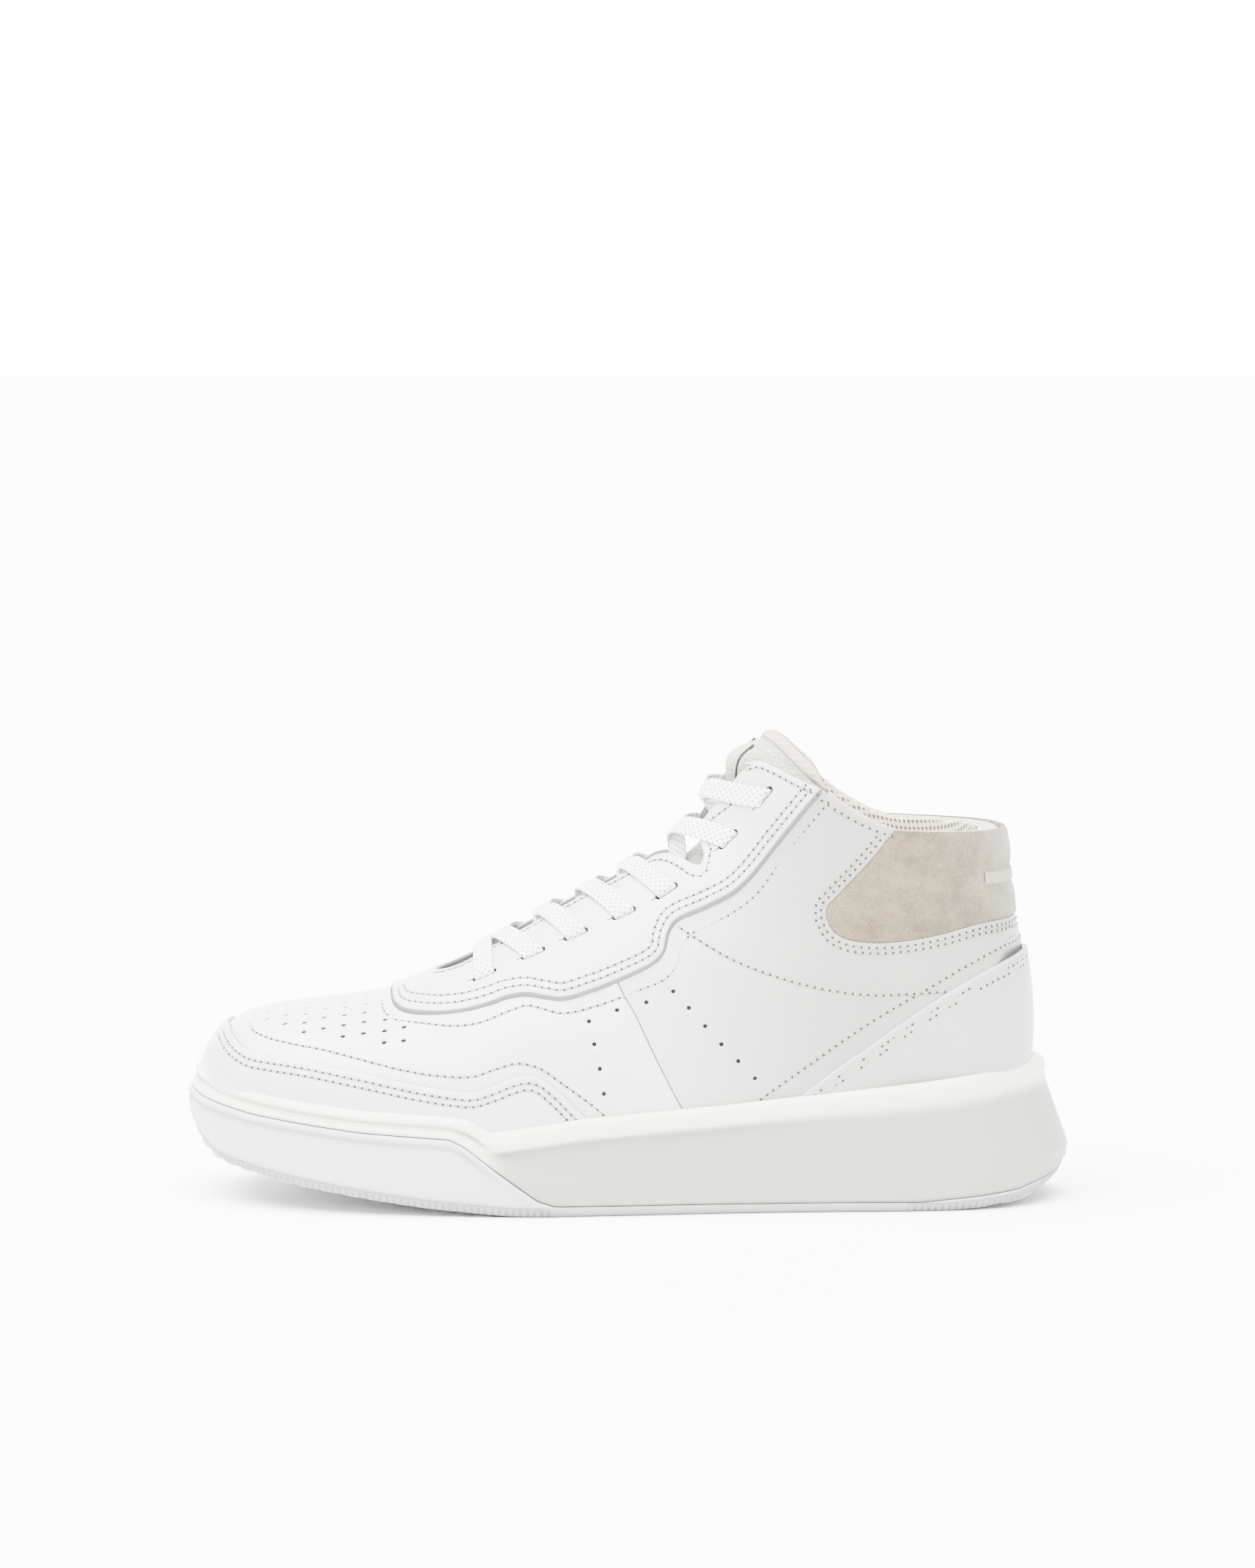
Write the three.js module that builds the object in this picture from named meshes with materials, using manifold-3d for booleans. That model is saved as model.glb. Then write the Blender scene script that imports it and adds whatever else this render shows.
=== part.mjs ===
// Basketball high top, one left shoe, millimetres.
// +X points to the heel, -Y is the lateral (little toe) side, +Z is up, and it stands on z = 0.
import * as THREE from 'three';
import { mergeVertices } from 'three/addons/utils/BufferGeometryUtils.js';
import Module from 'manifold-3d';

const wasm = await Module();
wasm.setup();

// Driving dimensions. The patterns below are drawn on the base size and graded to these three.
const shoeLength = 305;
const ballWidth = 103.4;
const collarHeight = 128;
const baseSize = { length: 305, width: 103.4, height: 128 };

// Material thicknesses.
const upperLeather = 1.4;
const overlayLeather = 1.3;
const stiffener = 0.9;
const lining = 1.2;
const insoleBoard = 3.0;
const footbedFoam = 3.6;
const footbedCover = 1.0;
const collarFoam = 5.0;
const tongueLeather = 1.2;
const tongueFoam = 3.8;
const tongueLining = 1.0;
const rubberWall = 3.4;
const treadThickness = 4.0;

// Lace and what it passes through.
const laceWidth = 7.2;
const laceThickness = 1.0;
const slotPlay = 0.7;
const laceGap = 0.74;
const throatBend = 27;
const agletLength = 18;
const agletRadius = 1.4;

// Fits: the glue line between stitched or bonded pieces, and the depth that overlays tuck into the cup.
const gap = 0.3;
const tuck = 5.5;
const bindingRadius = 3.4;
const tongueBindingRadius = 2.2;

// Layers, as distances out from the face of the upper leather.
const overlayOuter = gap + overlayLeather;
const stiffenerOuter = -upperLeather - gap;
const stiffenerInner = stiffenerOuter - stiffener;
const liningOuter = stiffenerInner - gap;
const liningInner = liningOuter - lining;
// A flat band across the bend of the throat stands off it by the rise of its arc.
const laceClear = laceGap + laceWidth ** 2 / (8 * throatBend);
const laceUnder = liningInner - laceClear - laceThickness / 2;
const laceOver = overlayOuter + laceClear + laceThickness / 2;
const tongueOuter = laceUnder - laceThickness / 2 - laceClear;
const tongueLeatherInner = tongueOuter - tongueLeather;
const tongueFoamOuter = tongueLeatherInner - gap;
const tongueFoamInner = tongueFoamOuter - tongueFoam;
const tongueLiningOuter = tongueFoamInner - gap;
const tongueLiningInner = tongueLiningOuter - tongueLining;

const gradeX = shoeLength / baseSize.length;
const gradeY = ballWidth / baseSize.width;
const gradeZ = collarHeight / baseSize.height;
const grade = (points) => points.map(([x, z]) => [x * gradeX, z * gradeZ]);

// Sections of the last, from the toe tip to above the collar. Each is a half moon in a plane
// that fans round from the toe to the ankle: ridge x, z; base x, z; half width lateral, medial;
// centre y; share of the way down where it is widest; fullness above and below that.
const lastRows = [
  [-146.5, 41.0, -146.5, 41.0, 0.0, 0.0, 6.5, 0.55, 2.0, 2.2],
  [-145.5, 46.8, -145.8, 37.0, 9.5, 9.5, 6.5, 0.55, 2.0, 2.3],
  [-142.9, 52.6, -143.6, 33.5, 18.5, 18.5, 6.4, 0.55, 2.1, 2.5],
  [-138.2, 58.4, -139.8, 30.3, 27.0, 26.5, 6.2, 0.58, 2.1, 2.8],
  [-130.5, 63.0, -132.5, 26.8, 35.0, 34.0, 5.4, 0.62, 2.2, 3.1],
  [-118.5, 65.8, -120.0, 23.0, 41.5, 41.0, 4.2, 0.66, 2.25, 3.4],
  [-102.0, 68.0, -103.0, 19.0, 46.5, 46.5, 2.6, 0.70, 2.25, 3.6],
  [-82.0, 71.2, -82.0, 15.5, 49.5, 50.0, 1.2, 0.72, 2.2, 3.6],
  [-62.0, 78.5, -60.0, 13.0, 51.5, 50.0, 0.2, 0.74, 2.1, 3.6],
  [-40.0, 90.5, -34.0, 12.6, 51.5, 47.0, 0.0, 0.75, 2.0, 3.6],
  [-18.0, 103.0, -4.0, 14.0, 48.5, 43.0, 0.0, 0.75, 1.95, 3.6],
  [1.0, 113.5, 30.0, 17.2, 44.5, 39.5, 0.0, 0.74, 1.95, 3.4],
  [14.0, 122.0, 66.0, 21.4, 41.5, 37.5, 0.0, 0.72, 2.0, 3.2],
  [21.5, 129.0, 98.0, 25.0, 39.5, 37.0, 0.5, 0.70, 2.0, 3.0],
  [25.5, 135.5, 122.0, 28.0, 38.0, 36.5, 0.8, 0.67, 2.0, 2.8],
  [28.5, 141.0, 135.0, 37.0, 36.8, 36.0, 1.0, 0.64, 2.0, 2.6],
  [31.0, 146.0, 138.5, 52.0, 36.0, 35.5, 1.0, 0.62, 2.0, 2.5],
  [33.5, 151.0, 138.8, 69.0, 35.2, 35.0, 1.0, 0.60, 2.0, 2.4],
  [36.5, 156.5, 136.5, 86.0, 34.6, 34.5, 1.0, 0.59, 2.0, 2.4],
  [40.0, 162.0, 132.8, 103.0, 34.4, 34.4, 1.0, 0.58, 2.0, 2.4],
  [44.0, 168.5, 130.6, 118.0, 34.6, 34.6, 1.0, 0.57, 2.0, 2.4],
  [48.5, 175.5, 130.5, 134.0, 35.2, 35.2, 1.0, 0.56, 2.0, 2.4],
  [53.0, 183.0, 131.5, 152.0, 36.0, 36.0, 1.0, 0.55, 2.0, 2.4],
  [57.5, 190.0, 133.0, 170.0, 37.0, 37.0, 1.0, 0.55, 2.0, 2.4],
].map(([rx, rz, bx, bz, lateral, medial, centre, share, above, below]) => [
  rx * gradeX, rz * gradeZ, bx * gradeX, bz * gradeZ,
  lateral * gradeY, medial * gradeY, centre * gradeY, share, above, below,
]);
const topRow = lastRows.length - 1;
const ringSteps = 16;

// The row between two stations.
function rowAt(u) {
  const i = Math.min(Math.floor(u), topRow - 1);
  return lastRows[i].map((value, k) => THREE.MathUtils.lerp(value, lastRows[i + 1][k], u - i));
}

// A point of the last: u counts stations, and the angle runs from 0 on the ridge to pi on the base.
// Lateral angles are negative.
function lastPoint(u, turn) {
  const angle = Math.atan2(Math.sin(turn), Math.cos(turn));
  const [rx, rz, bx, bz, lateral, medial, centre, share, above, below] = rowAt(u);
  const c = Math.abs(Math.cos(angle));
  const s = Math.abs(Math.sin(angle));
  const fullness = Math.abs(angle) <= Math.PI / 2 ? above : below;
  const drop = c ** (2 / fullness);
  const down = Math.abs(angle) <= Math.PI / 2 ? share * (1 - drop) : share + (1 - share) * drop;
  const half = angle < 0 ? lateral : medial;
  const y = centre + Math.sign(angle) * half * s ** (2 / fullness);
  return new THREE.Vector3(rx + (bx - rx) * down, y, rz + (bz - rz) * down);
}

function lastNormal(u, angle) {
  const step = 0.04;
  const low = Math.max(u - step, 0.001);
  const high = Math.min(u + step, topRow);
  const alongU = lastPoint(high, angle).sub(lastPoint(low, angle));
  const aroundA = lastPoint(u, angle + step).sub(lastPoint(u, angle - step));
  const normal = aroundA.cross(alongU).normalize();
  const [rx, rz, bx, bz, , , centre, share] = rowAt(u);
  const middle = new THREE.Vector3(rx + (bx - rx) * share, centre, rz + (bz - rz) * share);
  return lastPoint(u, angle).sub(middle).dot(normal) < 0 ? normal.negate() : normal;
}

// Where the side view point (x, z) lies on the last: its station and its angle.
function findOnLast(x, z, side) {
  let low = 0.01;
  let high = topRow;
  for (let i = 0; i < 40; i += 1) {
    const mid = (low + high) / 2;
    const [rx, rz, bx, bz] = rowAt(mid);
    const turn = (bx - rx) * (z - rz) - (bz - rz) * (x - rx);
    if (turn > 0) low = mid;
    else high = mid;
  }
  const [rx, rz, bx, bz, , , , share, above, below] = rowAt(low);
  const down = THREE.MathUtils.clamp(Math.hypot(x - rx, z - rz) / Math.hypot(bx - rx, bz - rz), 0, 1);
  const front = down <= share;
  const drop = front ? 1 - down / share : (down - share) / (1 - share);
  const c = drop ** ((front ? above : below) / 2);
  return { u: low, angle: side * (front ? Math.acos(c) : Math.PI - Math.acos(c)) };
}

function liftPoint({ u, angle }, offset) {
  return lastPoint(u, angle).addScaledVector(lastNormal(u, angle), offset);
}

// How much of the collar foam stands between the leather and the lining at a point.
function collarPadding(point) {
  const along = THREE.MathUtils.smoothstep(point.x, 64 * gradeX, 86 * gradeX);
  const up = THREE.MathUtils.smoothstep(point.z, 86 * gradeZ, 106 * gradeZ);
  return collarFoam * along * up;
}

// ---- solids ----

function toSolid(geometry) {
  const bare = geometry.clone();
  bare.deleteAttribute('normal');
  bare.deleteAttribute('uv');
  const merged = mergeVertices(bare, 1e-4);
  const mesh = new wasm.Mesh({
    numProp: 3,
    vertProperties: Float32Array.from(merged.attributes.position.array),
    triVerts: Uint32Array.from(merged.index.array),
  });
  const solid = new wasm.Manifold(mesh);
  return solid.volume() < 0 ? new wasm.Manifold(flip(mesh)) : solid;
}

function flip(mesh) {
  const triVerts = mesh.triVerts.slice();
  for (let i = 0; i < triVerts.length; i += 3) [triVerts[i], triVerts[i + 1]] = [triVerts[i + 1], triVerts[i]];
  return new wasm.Mesh({ numProp: 3, vertProperties: mesh.vertProperties, triVerts });
}

// A closed skin over rings of points with equal counts, with a point closing each end.
function ringSolid(rings, start, end) {
  const count = rings[0].length;
  const points = [...rings.flat(), start, end];
  const faces = [];
  const last = rings.length - 1;
  for (let j = 0; j < count; j += 1) {
    const k = (j + 1) % count;
    for (let i = 0; i < last; i += 1) {
      const a = i * count + j;
      const b = i * count + k;
      faces.push(a, b, a + count, b, b + count, a + count);
    }
    faces.push(points.length - 2, k, j);
    faces.push(points.length - 1, last * count + j, last * count + k);
  }
  const geometry = new THREE.BufferGeometry().setFromPoints(points);
  geometry.setIndex(faces);
  return toSolid(geometry);
}

const average = (ring) => ring.reduce((sum, p) => sum.add(p), new THREE.Vector3()).divideScalar(ring.length);

// The last grown or shrunk by an offset, up to a station, with or without the collar padding.
function skin(offset, endRow = topRow, padded = false) {
  const rings = [];
  const inward = padded ? 1 : 0;
  for (let row = 1; row <= topRow; row += 1) {
    const u = Math.min(row, endRow);
    rings.push(Array.from({ length: ringSteps }, (_, j) => {
      const angle = -Math.PI + (2 * Math.PI * (j + 0.5)) / ringSteps;
      const at = { u, angle };
      return liftPoint(at, offset - inward * collarPadding(lastPoint(u, angle)));
    }));
    if (row >= endRow) break;
  }
  const tip = lastPoint(0, 0).add(new THREE.Vector3(-offset, 0, 0));
  return ringSolid(rings, tip, average(rings[rings.length - 1]));
}

function shell(outer, inner, paddedOuter = false, paddedInner = false) {
  return skin(outer, topRow - 0.5, paddedOuter).subtract(skin(inner, topRow, paddedInner));
}

// A side view outline (x, z) extruded across the shoe between two y values.
function prism(outline, from = -90, to = 90) {
  const shape = new THREE.Shape(outline.map(([x, z]) => new THREE.Vector2(x, z)));
  const geometry = new THREE.ExtrudeGeometry(shape, { depth: to - from, bevelEnabled: false });
  geometry.rotateX(Math.PI / 2);
  geometry.translate(0, to, 0);
  return toSolid(geometry);
}

// A plan view outline (x, y) extruded upwards between two heights.
function planPrism(outline, from, to) {
  const shape = new THREE.Shape(outline.map(([x, y]) => new THREE.Vector2(x, y)));
  const geometry = new THREE.ExtrudeGeometry(shape, { depth: to - from, bevelEnabled: false });
  geometry.translate(0, 0, from);
  return toSolid(geometry);
}

const lateral = [-90, -gap / 2];
const medial = [gap / 2, 90];

// A band swept through stops that each give a place, a direction across and half sizes.
function sweep(stops, section) {
  const rings = stops.map((stop, i) => {
    const before = stops[Math.max(i - 1, 0)].at;
    const after = stops[Math.min(i + 1, stops.length - 1)].at;
    const along = after.clone().sub(before).normalize();
    const across = stop.across.clone().addScaledVector(along, -stop.across.dot(along)).normalize();
    const up = across.clone().cross(along);
    return section.map(([a, b]) => stop.at.clone()
      .addScaledVector(across, a * stop.halfWidth)
      .addScaledVector(up, b * stop.halfHeight));
  });
  return ringSolid(rings, stops[0].at.clone(), stops[stops.length - 1].at.clone());
}

const flatSection = [[-1, -1], [1, -1], [1, 1], [-1, 1]];
const roundSection = Array.from({ length: 8 }, (_, i) => {
  const turn = (2 * Math.PI * i) / 8;
  return [Math.cos(turn), Math.sin(turn)];
});

// Height of a polyline of (x, z) at x.
function heightAt(line, x) {
  const next = line.findIndex(([px]) => px >= x);
  if (next === 0) return line[0][1];
  if (next < 0) return line[line.length - 1][1];
  const [x0, z0] = line[next - 1];
  const [x1, z1] = line[next];
  return z0 + ((z1 - z0) * (x - x0)) / (x1 - x0);
}

const raise = (line, by) => line.map(([x, z]) => [x, z + by]);

// A polyline of (x, z) moved sideways, to the left of its direction.
function sideways(line, by) {
  return line.map(([x, z], i) => {
    const [x0, z0] = line[Math.max(i - 1, 0)];
    const [x1, z1] = line[Math.min(i + 1, line.length - 1)];
    const length = Math.hypot(x1 - x0, z1 - z0);
    return [x - ((z1 - z0) * by) / length, z + ((x1 - x0) * by) / length];
  });
}

const far = 200;
const below = (line) => prism([...line, [line[line.length - 1][0], -far], [line[0][0], -far]]);
const above = (line) => prism([...line, [line[line.length - 1][0], far], [line[0][0], far]]);

// ---- sole ----

const groundLine = grade([[-160, 30], [-152, 26], [-149, 21], [-141, 15], [-116, 9.9], [-91, 6], [-66, 2.7],
  [-41, 0.5], [-28, 0], [110, 0], [121, 0.8], [134, 2.2], [146.5, 6], [151.5, 11], [160, 20]]);
const cupLine = grade([[-160, 46.5], [-148, 45], [-134, 41.3], [-116, 38], [-91, 35.3], [-60, 33.8], [-53, 32.8],
  [-46.5, 28.3], [-41, 29], [-16, 32.5], [34, 36.5], [84, 41.7], [134, 47], [160, 49]]);
const rubberLine = grade([[-160, 39], [-146, 35.5], [-128, 32.5], [-91, 28.2], [-60, 26.3], [-55, 24], [-42, 14.2],
  [-30, 5.5], [-24, 3.6], [100, 3.2], [121, 4.9], [134, 6.3], [146, 9.7], [160, 18]]);
const wideLine = grade([[-152, 34], [-120, 30], [-60, 24], [-35, 12], [0, 6], [100, 8], [150, 18]]);
const insoleLine = grade([[-160, 33], [-146, 31], [-130, 25.5], [-116, 21.5], [-91, 16.5], [-66, 13.5], [-41, 12.5],
  [0, 14.5], [40, 18.5], [80, 23], [110, 26], [160, 31]]);

const soleOutline = [[-152.3, 7], [-148.5, -11], [-138, -28.5], [-118, -43.5], [-92, -52], [-62, -56.2],
  [-35, -57], [-5, -53.8], [30, -49], [65, -45.5], [100, -43.5], [125, -38.5], [142, -26], [150.5, -11],
  [152.7, 1], [150.5, 13], [142, 28], [125, 39.5], [100, 43], [65, 42], [30, 44], [-5, 48.5], [-35, 53],
  [-62, 56], [-92, 56], [-118, 52], [-138, 40.5], [-148.5, 23.5]];
const soleCurve = new THREE.CatmullRomCurve3(
  soleOutline.map(([x, y]) => new THREE.Vector3(x * gradeX, y * gradeY, 0)), true, 'centripetal');
const soleSteps = 40;

// How far the top edge of the cup stands inside the widest outline.
function rimInset(x) {
  const toe = 1.4 * THREE.MathUtils.smoothstep(-x, 125 * gradeX, 150 * gradeX);
  const heel = 6.8 * THREE.MathUtils.smoothstep(x, 95 * gradeX, 150 * gradeX);
  return 3.2 + toe + heel;
}

function soleRing(inset, height) {
  return Array.from({ length: soleSteps }, (_, i) => {
    const at = soleCurve.getPoint(i / soleSteps);
    const along = soleCurve.getTangent(i / soleSteps);
    const amount = inset(at.x);
    const x = at.x + along.y * -amount;
    const y = at.y + along.x * amount;
    return new THREE.Vector3(x, y, height(x));
  });
}

// Rings of [inset, height] made one solid, with flat ends well past the lines that trim it.
function soleLoft(levels, bottomLine, topLine) {
  const rings = levels.map(([inset, height]) => soleRing(inset, height));
  rings.unshift(soleRing(levels[0][0], () => -far / 2));
  rings.push(soleRing(levels[levels.length - 1][0], () => far / 2));
  const loft = ringSolid(rings, average(rings[0]), average(rings[rings.length - 1]));
  return loft.intersect(above(bottomLine)).intersect(below(topLine));
}

const edgeRound = 2.6;
const soleBody = soleLoft([
  [() => edgeRound, (x) => heightAt(groundLine, x)],
  [() => 0.7, (x) => heightAt(groundLine, x) + 3.2],
  [() => 0, (x) => Math.max(heightAt(wideLine, x), heightAt(groundLine, x) + 4)],
  [rimInset, (x) => heightAt(cupLine, x)],
], groundLine, cupLine);

function soleCore(inset, lift) {
  return soleLoft([
    [() => inset + 2.5, (x) => heightAt(groundLine, x) + lift],
    [() => inset, (x) => heightAt(groundLine, x) + lift + 4],
    [(x) => inset + rimInset(x) / 2, (x) => heightAt(cupLine, x)],
  ], raise(groundLine, lift), raise(rubberLine, 1));
}

const cupRebate = skin(overlayOuter + gap).intersect(above(raise(cupLine, -tuck - gap)));
const upperRoom = skin(gap).add(cupRebate);
const outsole = soleBody.intersect(below(rubberLine)).subtract(soleCore(rubberWall, treadThickness))
  .subtract(upperRoom);
const midsole = soleBody.intersect(above(raise(rubberLine, gap)))
  .add(soleCore(rubberWall + gap, treadThickness + gap).intersect(soleBody))
  .subtract(upperRoom);

const boardTop = raise(insoleLine, insoleBoard);
const upperFloor = raise(boardTop, gap);
const foamTop = raise(upperFloor, footbedFoam);
const coverTop = raise(foamTop, gap + footbedCover);
const board = skin(0).intersect(below(boardTop));
const footRoom = skin(liningInner - gap, topRow - 0.5, true);
const footbed = footRoom.intersect(above(upperFloor)).intersect(below(foamTop));
const cover = footRoom.intersect(above(raise(foamTop, gap))).intersect(below(coverTop));

// ---- cut lines of the upper, seen from the side ----

const throatPlan = [[-65.5, 0], [-64, 6], [-60, 10.5], [-54, 12], [-40, 10.5], [-18, 9], [2, 8.5], [20, 9],
  [30, 10.5], [40, 14], [46, 17.5], [60, 22]].map(([x, y]) => [x * gradeX, y * gradeY]);
const notchPlan = [[10, 5], [18.5, 15.5], [24.5, 20.5], [27.3, 19.5], [25.5, 7]]
  .map(([x, y]) => [x * gradeX, y * gradeY]);
const mirrored = (outline) => outline.map(([x, y]) => [x, -y]).reverse();
const throatBase = 55 * gradeZ;
const throat = planPrism([...throatPlan, ...mirrored(throatPlan.slice(1))], throatBase, far)
  .add(planPrism(notchPlan, throatBase, far))
  .add(planPrism(mirrored(notchPlan), throatBase, far));

const seam = grade([[-14, 125], [-3, 78], [3, 67], [10.5, 51.5], [20, 33.5], [34, 5]]);
const shift = (line, by) => line.map(([x, z]) => [x + by, z]);
const topEdge = grade([[30, 156], [40.3, 149.8], [45.3, 151.3], [50, 150], [58.8, 145.8], [65.9, 142.8],
  [70.8, 138.6], [77, 135], [82.8, 132.1], [90.8, 129.2]]);
const collarEdge = grade([[90.8, 129.2], [101.5, 128.7], [119, 128.3], [150, 128]]);
const windowEdge = grade([[90.8, 129.2], [82.8, 119], [70.6, 105.9], [68, 103], [67.7, 99.5], [70, 95],
  [74.4, 92.3], [83.3, 91], [95, 91.7], [107.7, 94], [120, 97], [150, 99]]);
const eyestayEdge = grade([[-81, 90], [-80, 72], [-79, 68.8], [-76, 67], [-65, 66.8], [-55, 68.1], [-46, 70.7],
  [-34, 75.5], [-21.6, 72.8], [-3, 78.9], [9.2, 84.7], [12, 87.7], [13.6, 93.6], [16.1, 97.7], [27.8, 103.4],
  [36.3, 107.9], [42.8, 114], [52.6, 126.5], [63.4, 140.1], [65.9, 142.8]]);
const eyestayTop = grade([[58.8, 145.8], [50, 150], [45.3, 151.3], [40.3, 149.8], [30, 156], [5, 150], [-81, 110]]);
const guardEdge = grade([[-139, 70], [-136.8, 59.4], [-135.6, 57.9], [-133.2, 55.2], [-128, 52.6], [-120, 51.6],
  [-107.6, 50.3], [-89, 47.2], [-70.4, 43.8], [-58, 42.1], [-52, 41.8], [-45.8, 43.6], [-39.7, 46],
  [-33.7, 47.3], [-28.8, 46.2], [-23.9, 42.7], [-15.3, 34.1], [-8, 26], [-2, 15]]);
const foxingEdge = grade([[150, 88.5], [133.6, 85], [120.3, 79.6], [107.7, 72.7], [95.6, 65.1], [83.1, 56.3],
  [70.6, 47.8], [54.6, 35.7], [40, 24], [36, 10]]);
const counterEdge = grade([[150, 76], [120, 71], [96, 59], [78, 46], [66, 25]]);
const puffEdge = grade([[-108, 90], [-100, 60], [-98, 10]]);
const liningSeam = grade([[-30, 140], [-24, 80], [-14, 8]]);
const foamEdge = grade([[150, 99.5], [120, 98], [100, 96], [88, 98], [80, 104], [77, 112], [80, 124], [84, 131.5]]);

const lowToe = [-160 * gradeX, 0];
const highToe = [-160 * gradeX, 120 * gradeZ];
const lowHeel = [150 * gradeX, 0];

// ---- eyelets ----

const eyelets = grade([[47.1, 139.2], [35.2, 124.5], [14, 106.9], [-0.6, 99.3], [-17, 92.2], [-31.5, 85.6],
  [-48.1, 78.2]]);

function eyeletAt(k, side) {
  const place = findOnLast(...eyelets[k], side);
  const before = eyelets[Math.max(k - 1, 0)];
  const after = eyelets[Math.min(k + 1, eyelets.length - 1)];
  const out = lastNormal(place.u, place.angle);
  const toToe = liftPoint(findOnLast(...after, side), 0).sub(liftPoint(findOnLast(...before, side), 0));
  const row = toToe.addScaledVector(out, -toToe.dot(out)).normalize();
  return { place, at: liftPoint(place, 0), out, row };
}

function slotCutter(k, side) {
  const { at, out, row } = eyeletAt(k, side);
  const cross = out.clone().cross(row);
  const box = new THREE.BoxGeometry(laceWidth + 2 * slotPlay, laceThickness + 2 * slotPlay, 24);
  box.applyMatrix4(new THREE.Matrix4().makeBasis(row, cross, out).setPosition(at));
  return toSolid(box);
}

const slots = [-1, 1].flatMap((side) => eyelets.map((_, k) => slotCutter(k, side)))
  .reduce((sum, slot) => sum.add(slot));
const openings = throat.add(slots);

// ---- rolled edges ----

// Stops along an edge line, found at equal angles round the opening.
function edgeStops(line, fromAngle, toAngle, steps, offsetAt, radiusAt, drop) {
  return Array.from({ length: steps + 1 }, (_, i) => {
    const angle = fromAngle + ((toAngle - fromAngle) * i) / steps;
    let low = 10;
    let high = topRow - 0.1;
    for (let n = 0; n < 30; n += 1) {
      const mid = (low + high) / 2;
      const at = lastPoint(mid, angle);
      if (at.z < heightAt(line, at.x) - drop) low = mid;
      else high = mid;
    }
    const at = lastPoint(low, angle);
    const across = lastNormal(low, angle).setZ(0);
    const radius = radiusAt(at);
    return { at: liftPoint({ u: low, angle }, offsetAt(at)), across, halfWidth: radius, halfHeight: radius };
  });
}

const wholeEdge = [...topEdge, ...collarEdge.slice(1)];
const collarStart = 1.06;
const collarSteps = 24;
const rollDrop = 0.8;
const padDrop = 1.3;
const rollThin = 2.1;

function collarRoll(grow) {
  const centre = (at) => (liningInner - collarPadding(at)) / 2;
  const radius = (at) => rollThin + ((bindingRadius - rollThin) * collarPadding(at)) / collarFoam + grow;
  const stops = edgeStops(wholeEdge, -collarStart, collarStart - 2 * Math.PI, collarSteps, centre, radius, rollDrop);
  return sweep(stops, roundSection);
}

const tongueTop = grade([[20, 170], [41, 164.5], [46, 161], [55, 152.3], [66, 142.5]]);
const tongueStart = 1.02;
const tongueRollDrop = 1.5;
const tongueMiddle = (tongueOuter + tongueLiningInner) / 2;

function tongueRoll(grow) {
  const stops = edgeStops(tongueTop, -tongueStart, tongueStart, 16, () => tongueMiddle,
    () => tongueBindingRadius + grow, tongueRollDrop);
  return sweep(stops, roundSection);
}

// ---- upper ----

const leatherShell = shell(0, -upperLeather);
const overlayShell = shell(overlayOuter, gap);
const stiffenerShell = shell(stiffenerOuter, stiffenerInner);
const liningShell = shell(liningOuter, liningInner, true, true);
const foamShell = shell(stiffenerOuter, liningOuter + gap, false, true);
const bothSides = [-90, 90];
const overFloor = above(upperFloor);
const overTuck = above(raise(cupLine, -tuck));
const clearOfRoll = collarRoll(gap);

function panel(layer, outline, [from, to], foot = overFloor) {
  return layer.intersect(prism(outline, from, to)).intersect(foot);
}

const vampOutline = [lowToe, ...shift(seam, -gap / 2).reverse(), highToe];
const quarterOutline = [...shift(seam, gap / 2), lowHeel, ...sideways(windowEdge, -gap / 2).reverse(),
  ...topEdge.slice(0, -1).reverse()];
const suedeOutline = [...sideways(windowEdge, gap / 2), ...collarEdge.slice(1).reverse()];
const eyestayOutline = [...eyestayEdge, ...eyestayTop];
const foamOutline = [...foamEdge, ...raise(collarEdge, -rollDrop - padDrop)];
const quarterLiningOutline = [...shift(liningSeam, gap / 2), lowHeel, ...raise(wholeEdge, -rollDrop).reverse()];
const vampLiningOutline = [lowToe, ...shift(liningSeam, -gap / 2).reverse(), highToe];

const vamp = panel(leatherShell, vampOutline, bothSides).subtract(openings);
const quarter = (side) => panel(leatherShell, quarterOutline, side).subtract(openings).subtract(clearOfRoll);
const suede = panel(leatherShell, suedeOutline, bothSides).subtract(clearOfRoll);
const eyestay = panel(overlayShell, eyestayOutline, bothSides).subtract(openings);
const guard = panel(overlayShell, [lowToe, [-10 * gradeX, 0], ...[...guardEdge].reverse(), highToe], bothSides,
  overTuck);
const foxing = panel(overlayShell, [...foxingEdge, lowHeel], bothSides, overTuck);
const backing = (side) => panel(stiffenerShell, eyestayOutline, side).subtract(openings).subtract(clearOfRoll);
const puff = panel(stiffenerShell, [lowToe, ...[...puffEdge].reverse(), highToe], bothSides);
const counter = panel(stiffenerShell, [...counterEdge, lowHeel], bothSides);
const foam = panel(foamShell, foamOutline, bothSides).subtract(clearOfRoll);
const quarterLining = (side) => panel(liningShell, quarterLiningOutline, side).subtract(openings)
  .subtract(clearOfRoll);
const vampLining = panel(liningShell, vampLiningOutline, bothSides).subtract(openings);

const bartackOutline = grade([[110, 109.5], [150, 109.5], [150, 114.5], [110, 114.5]]);
const bartackHalf = 12 * gradeY;
const bartack = shell(gap + 0.9, gap).intersect(prism(bartackOutline, -bartackHalf, bartackHalf));

// ---- tongue ----

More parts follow.
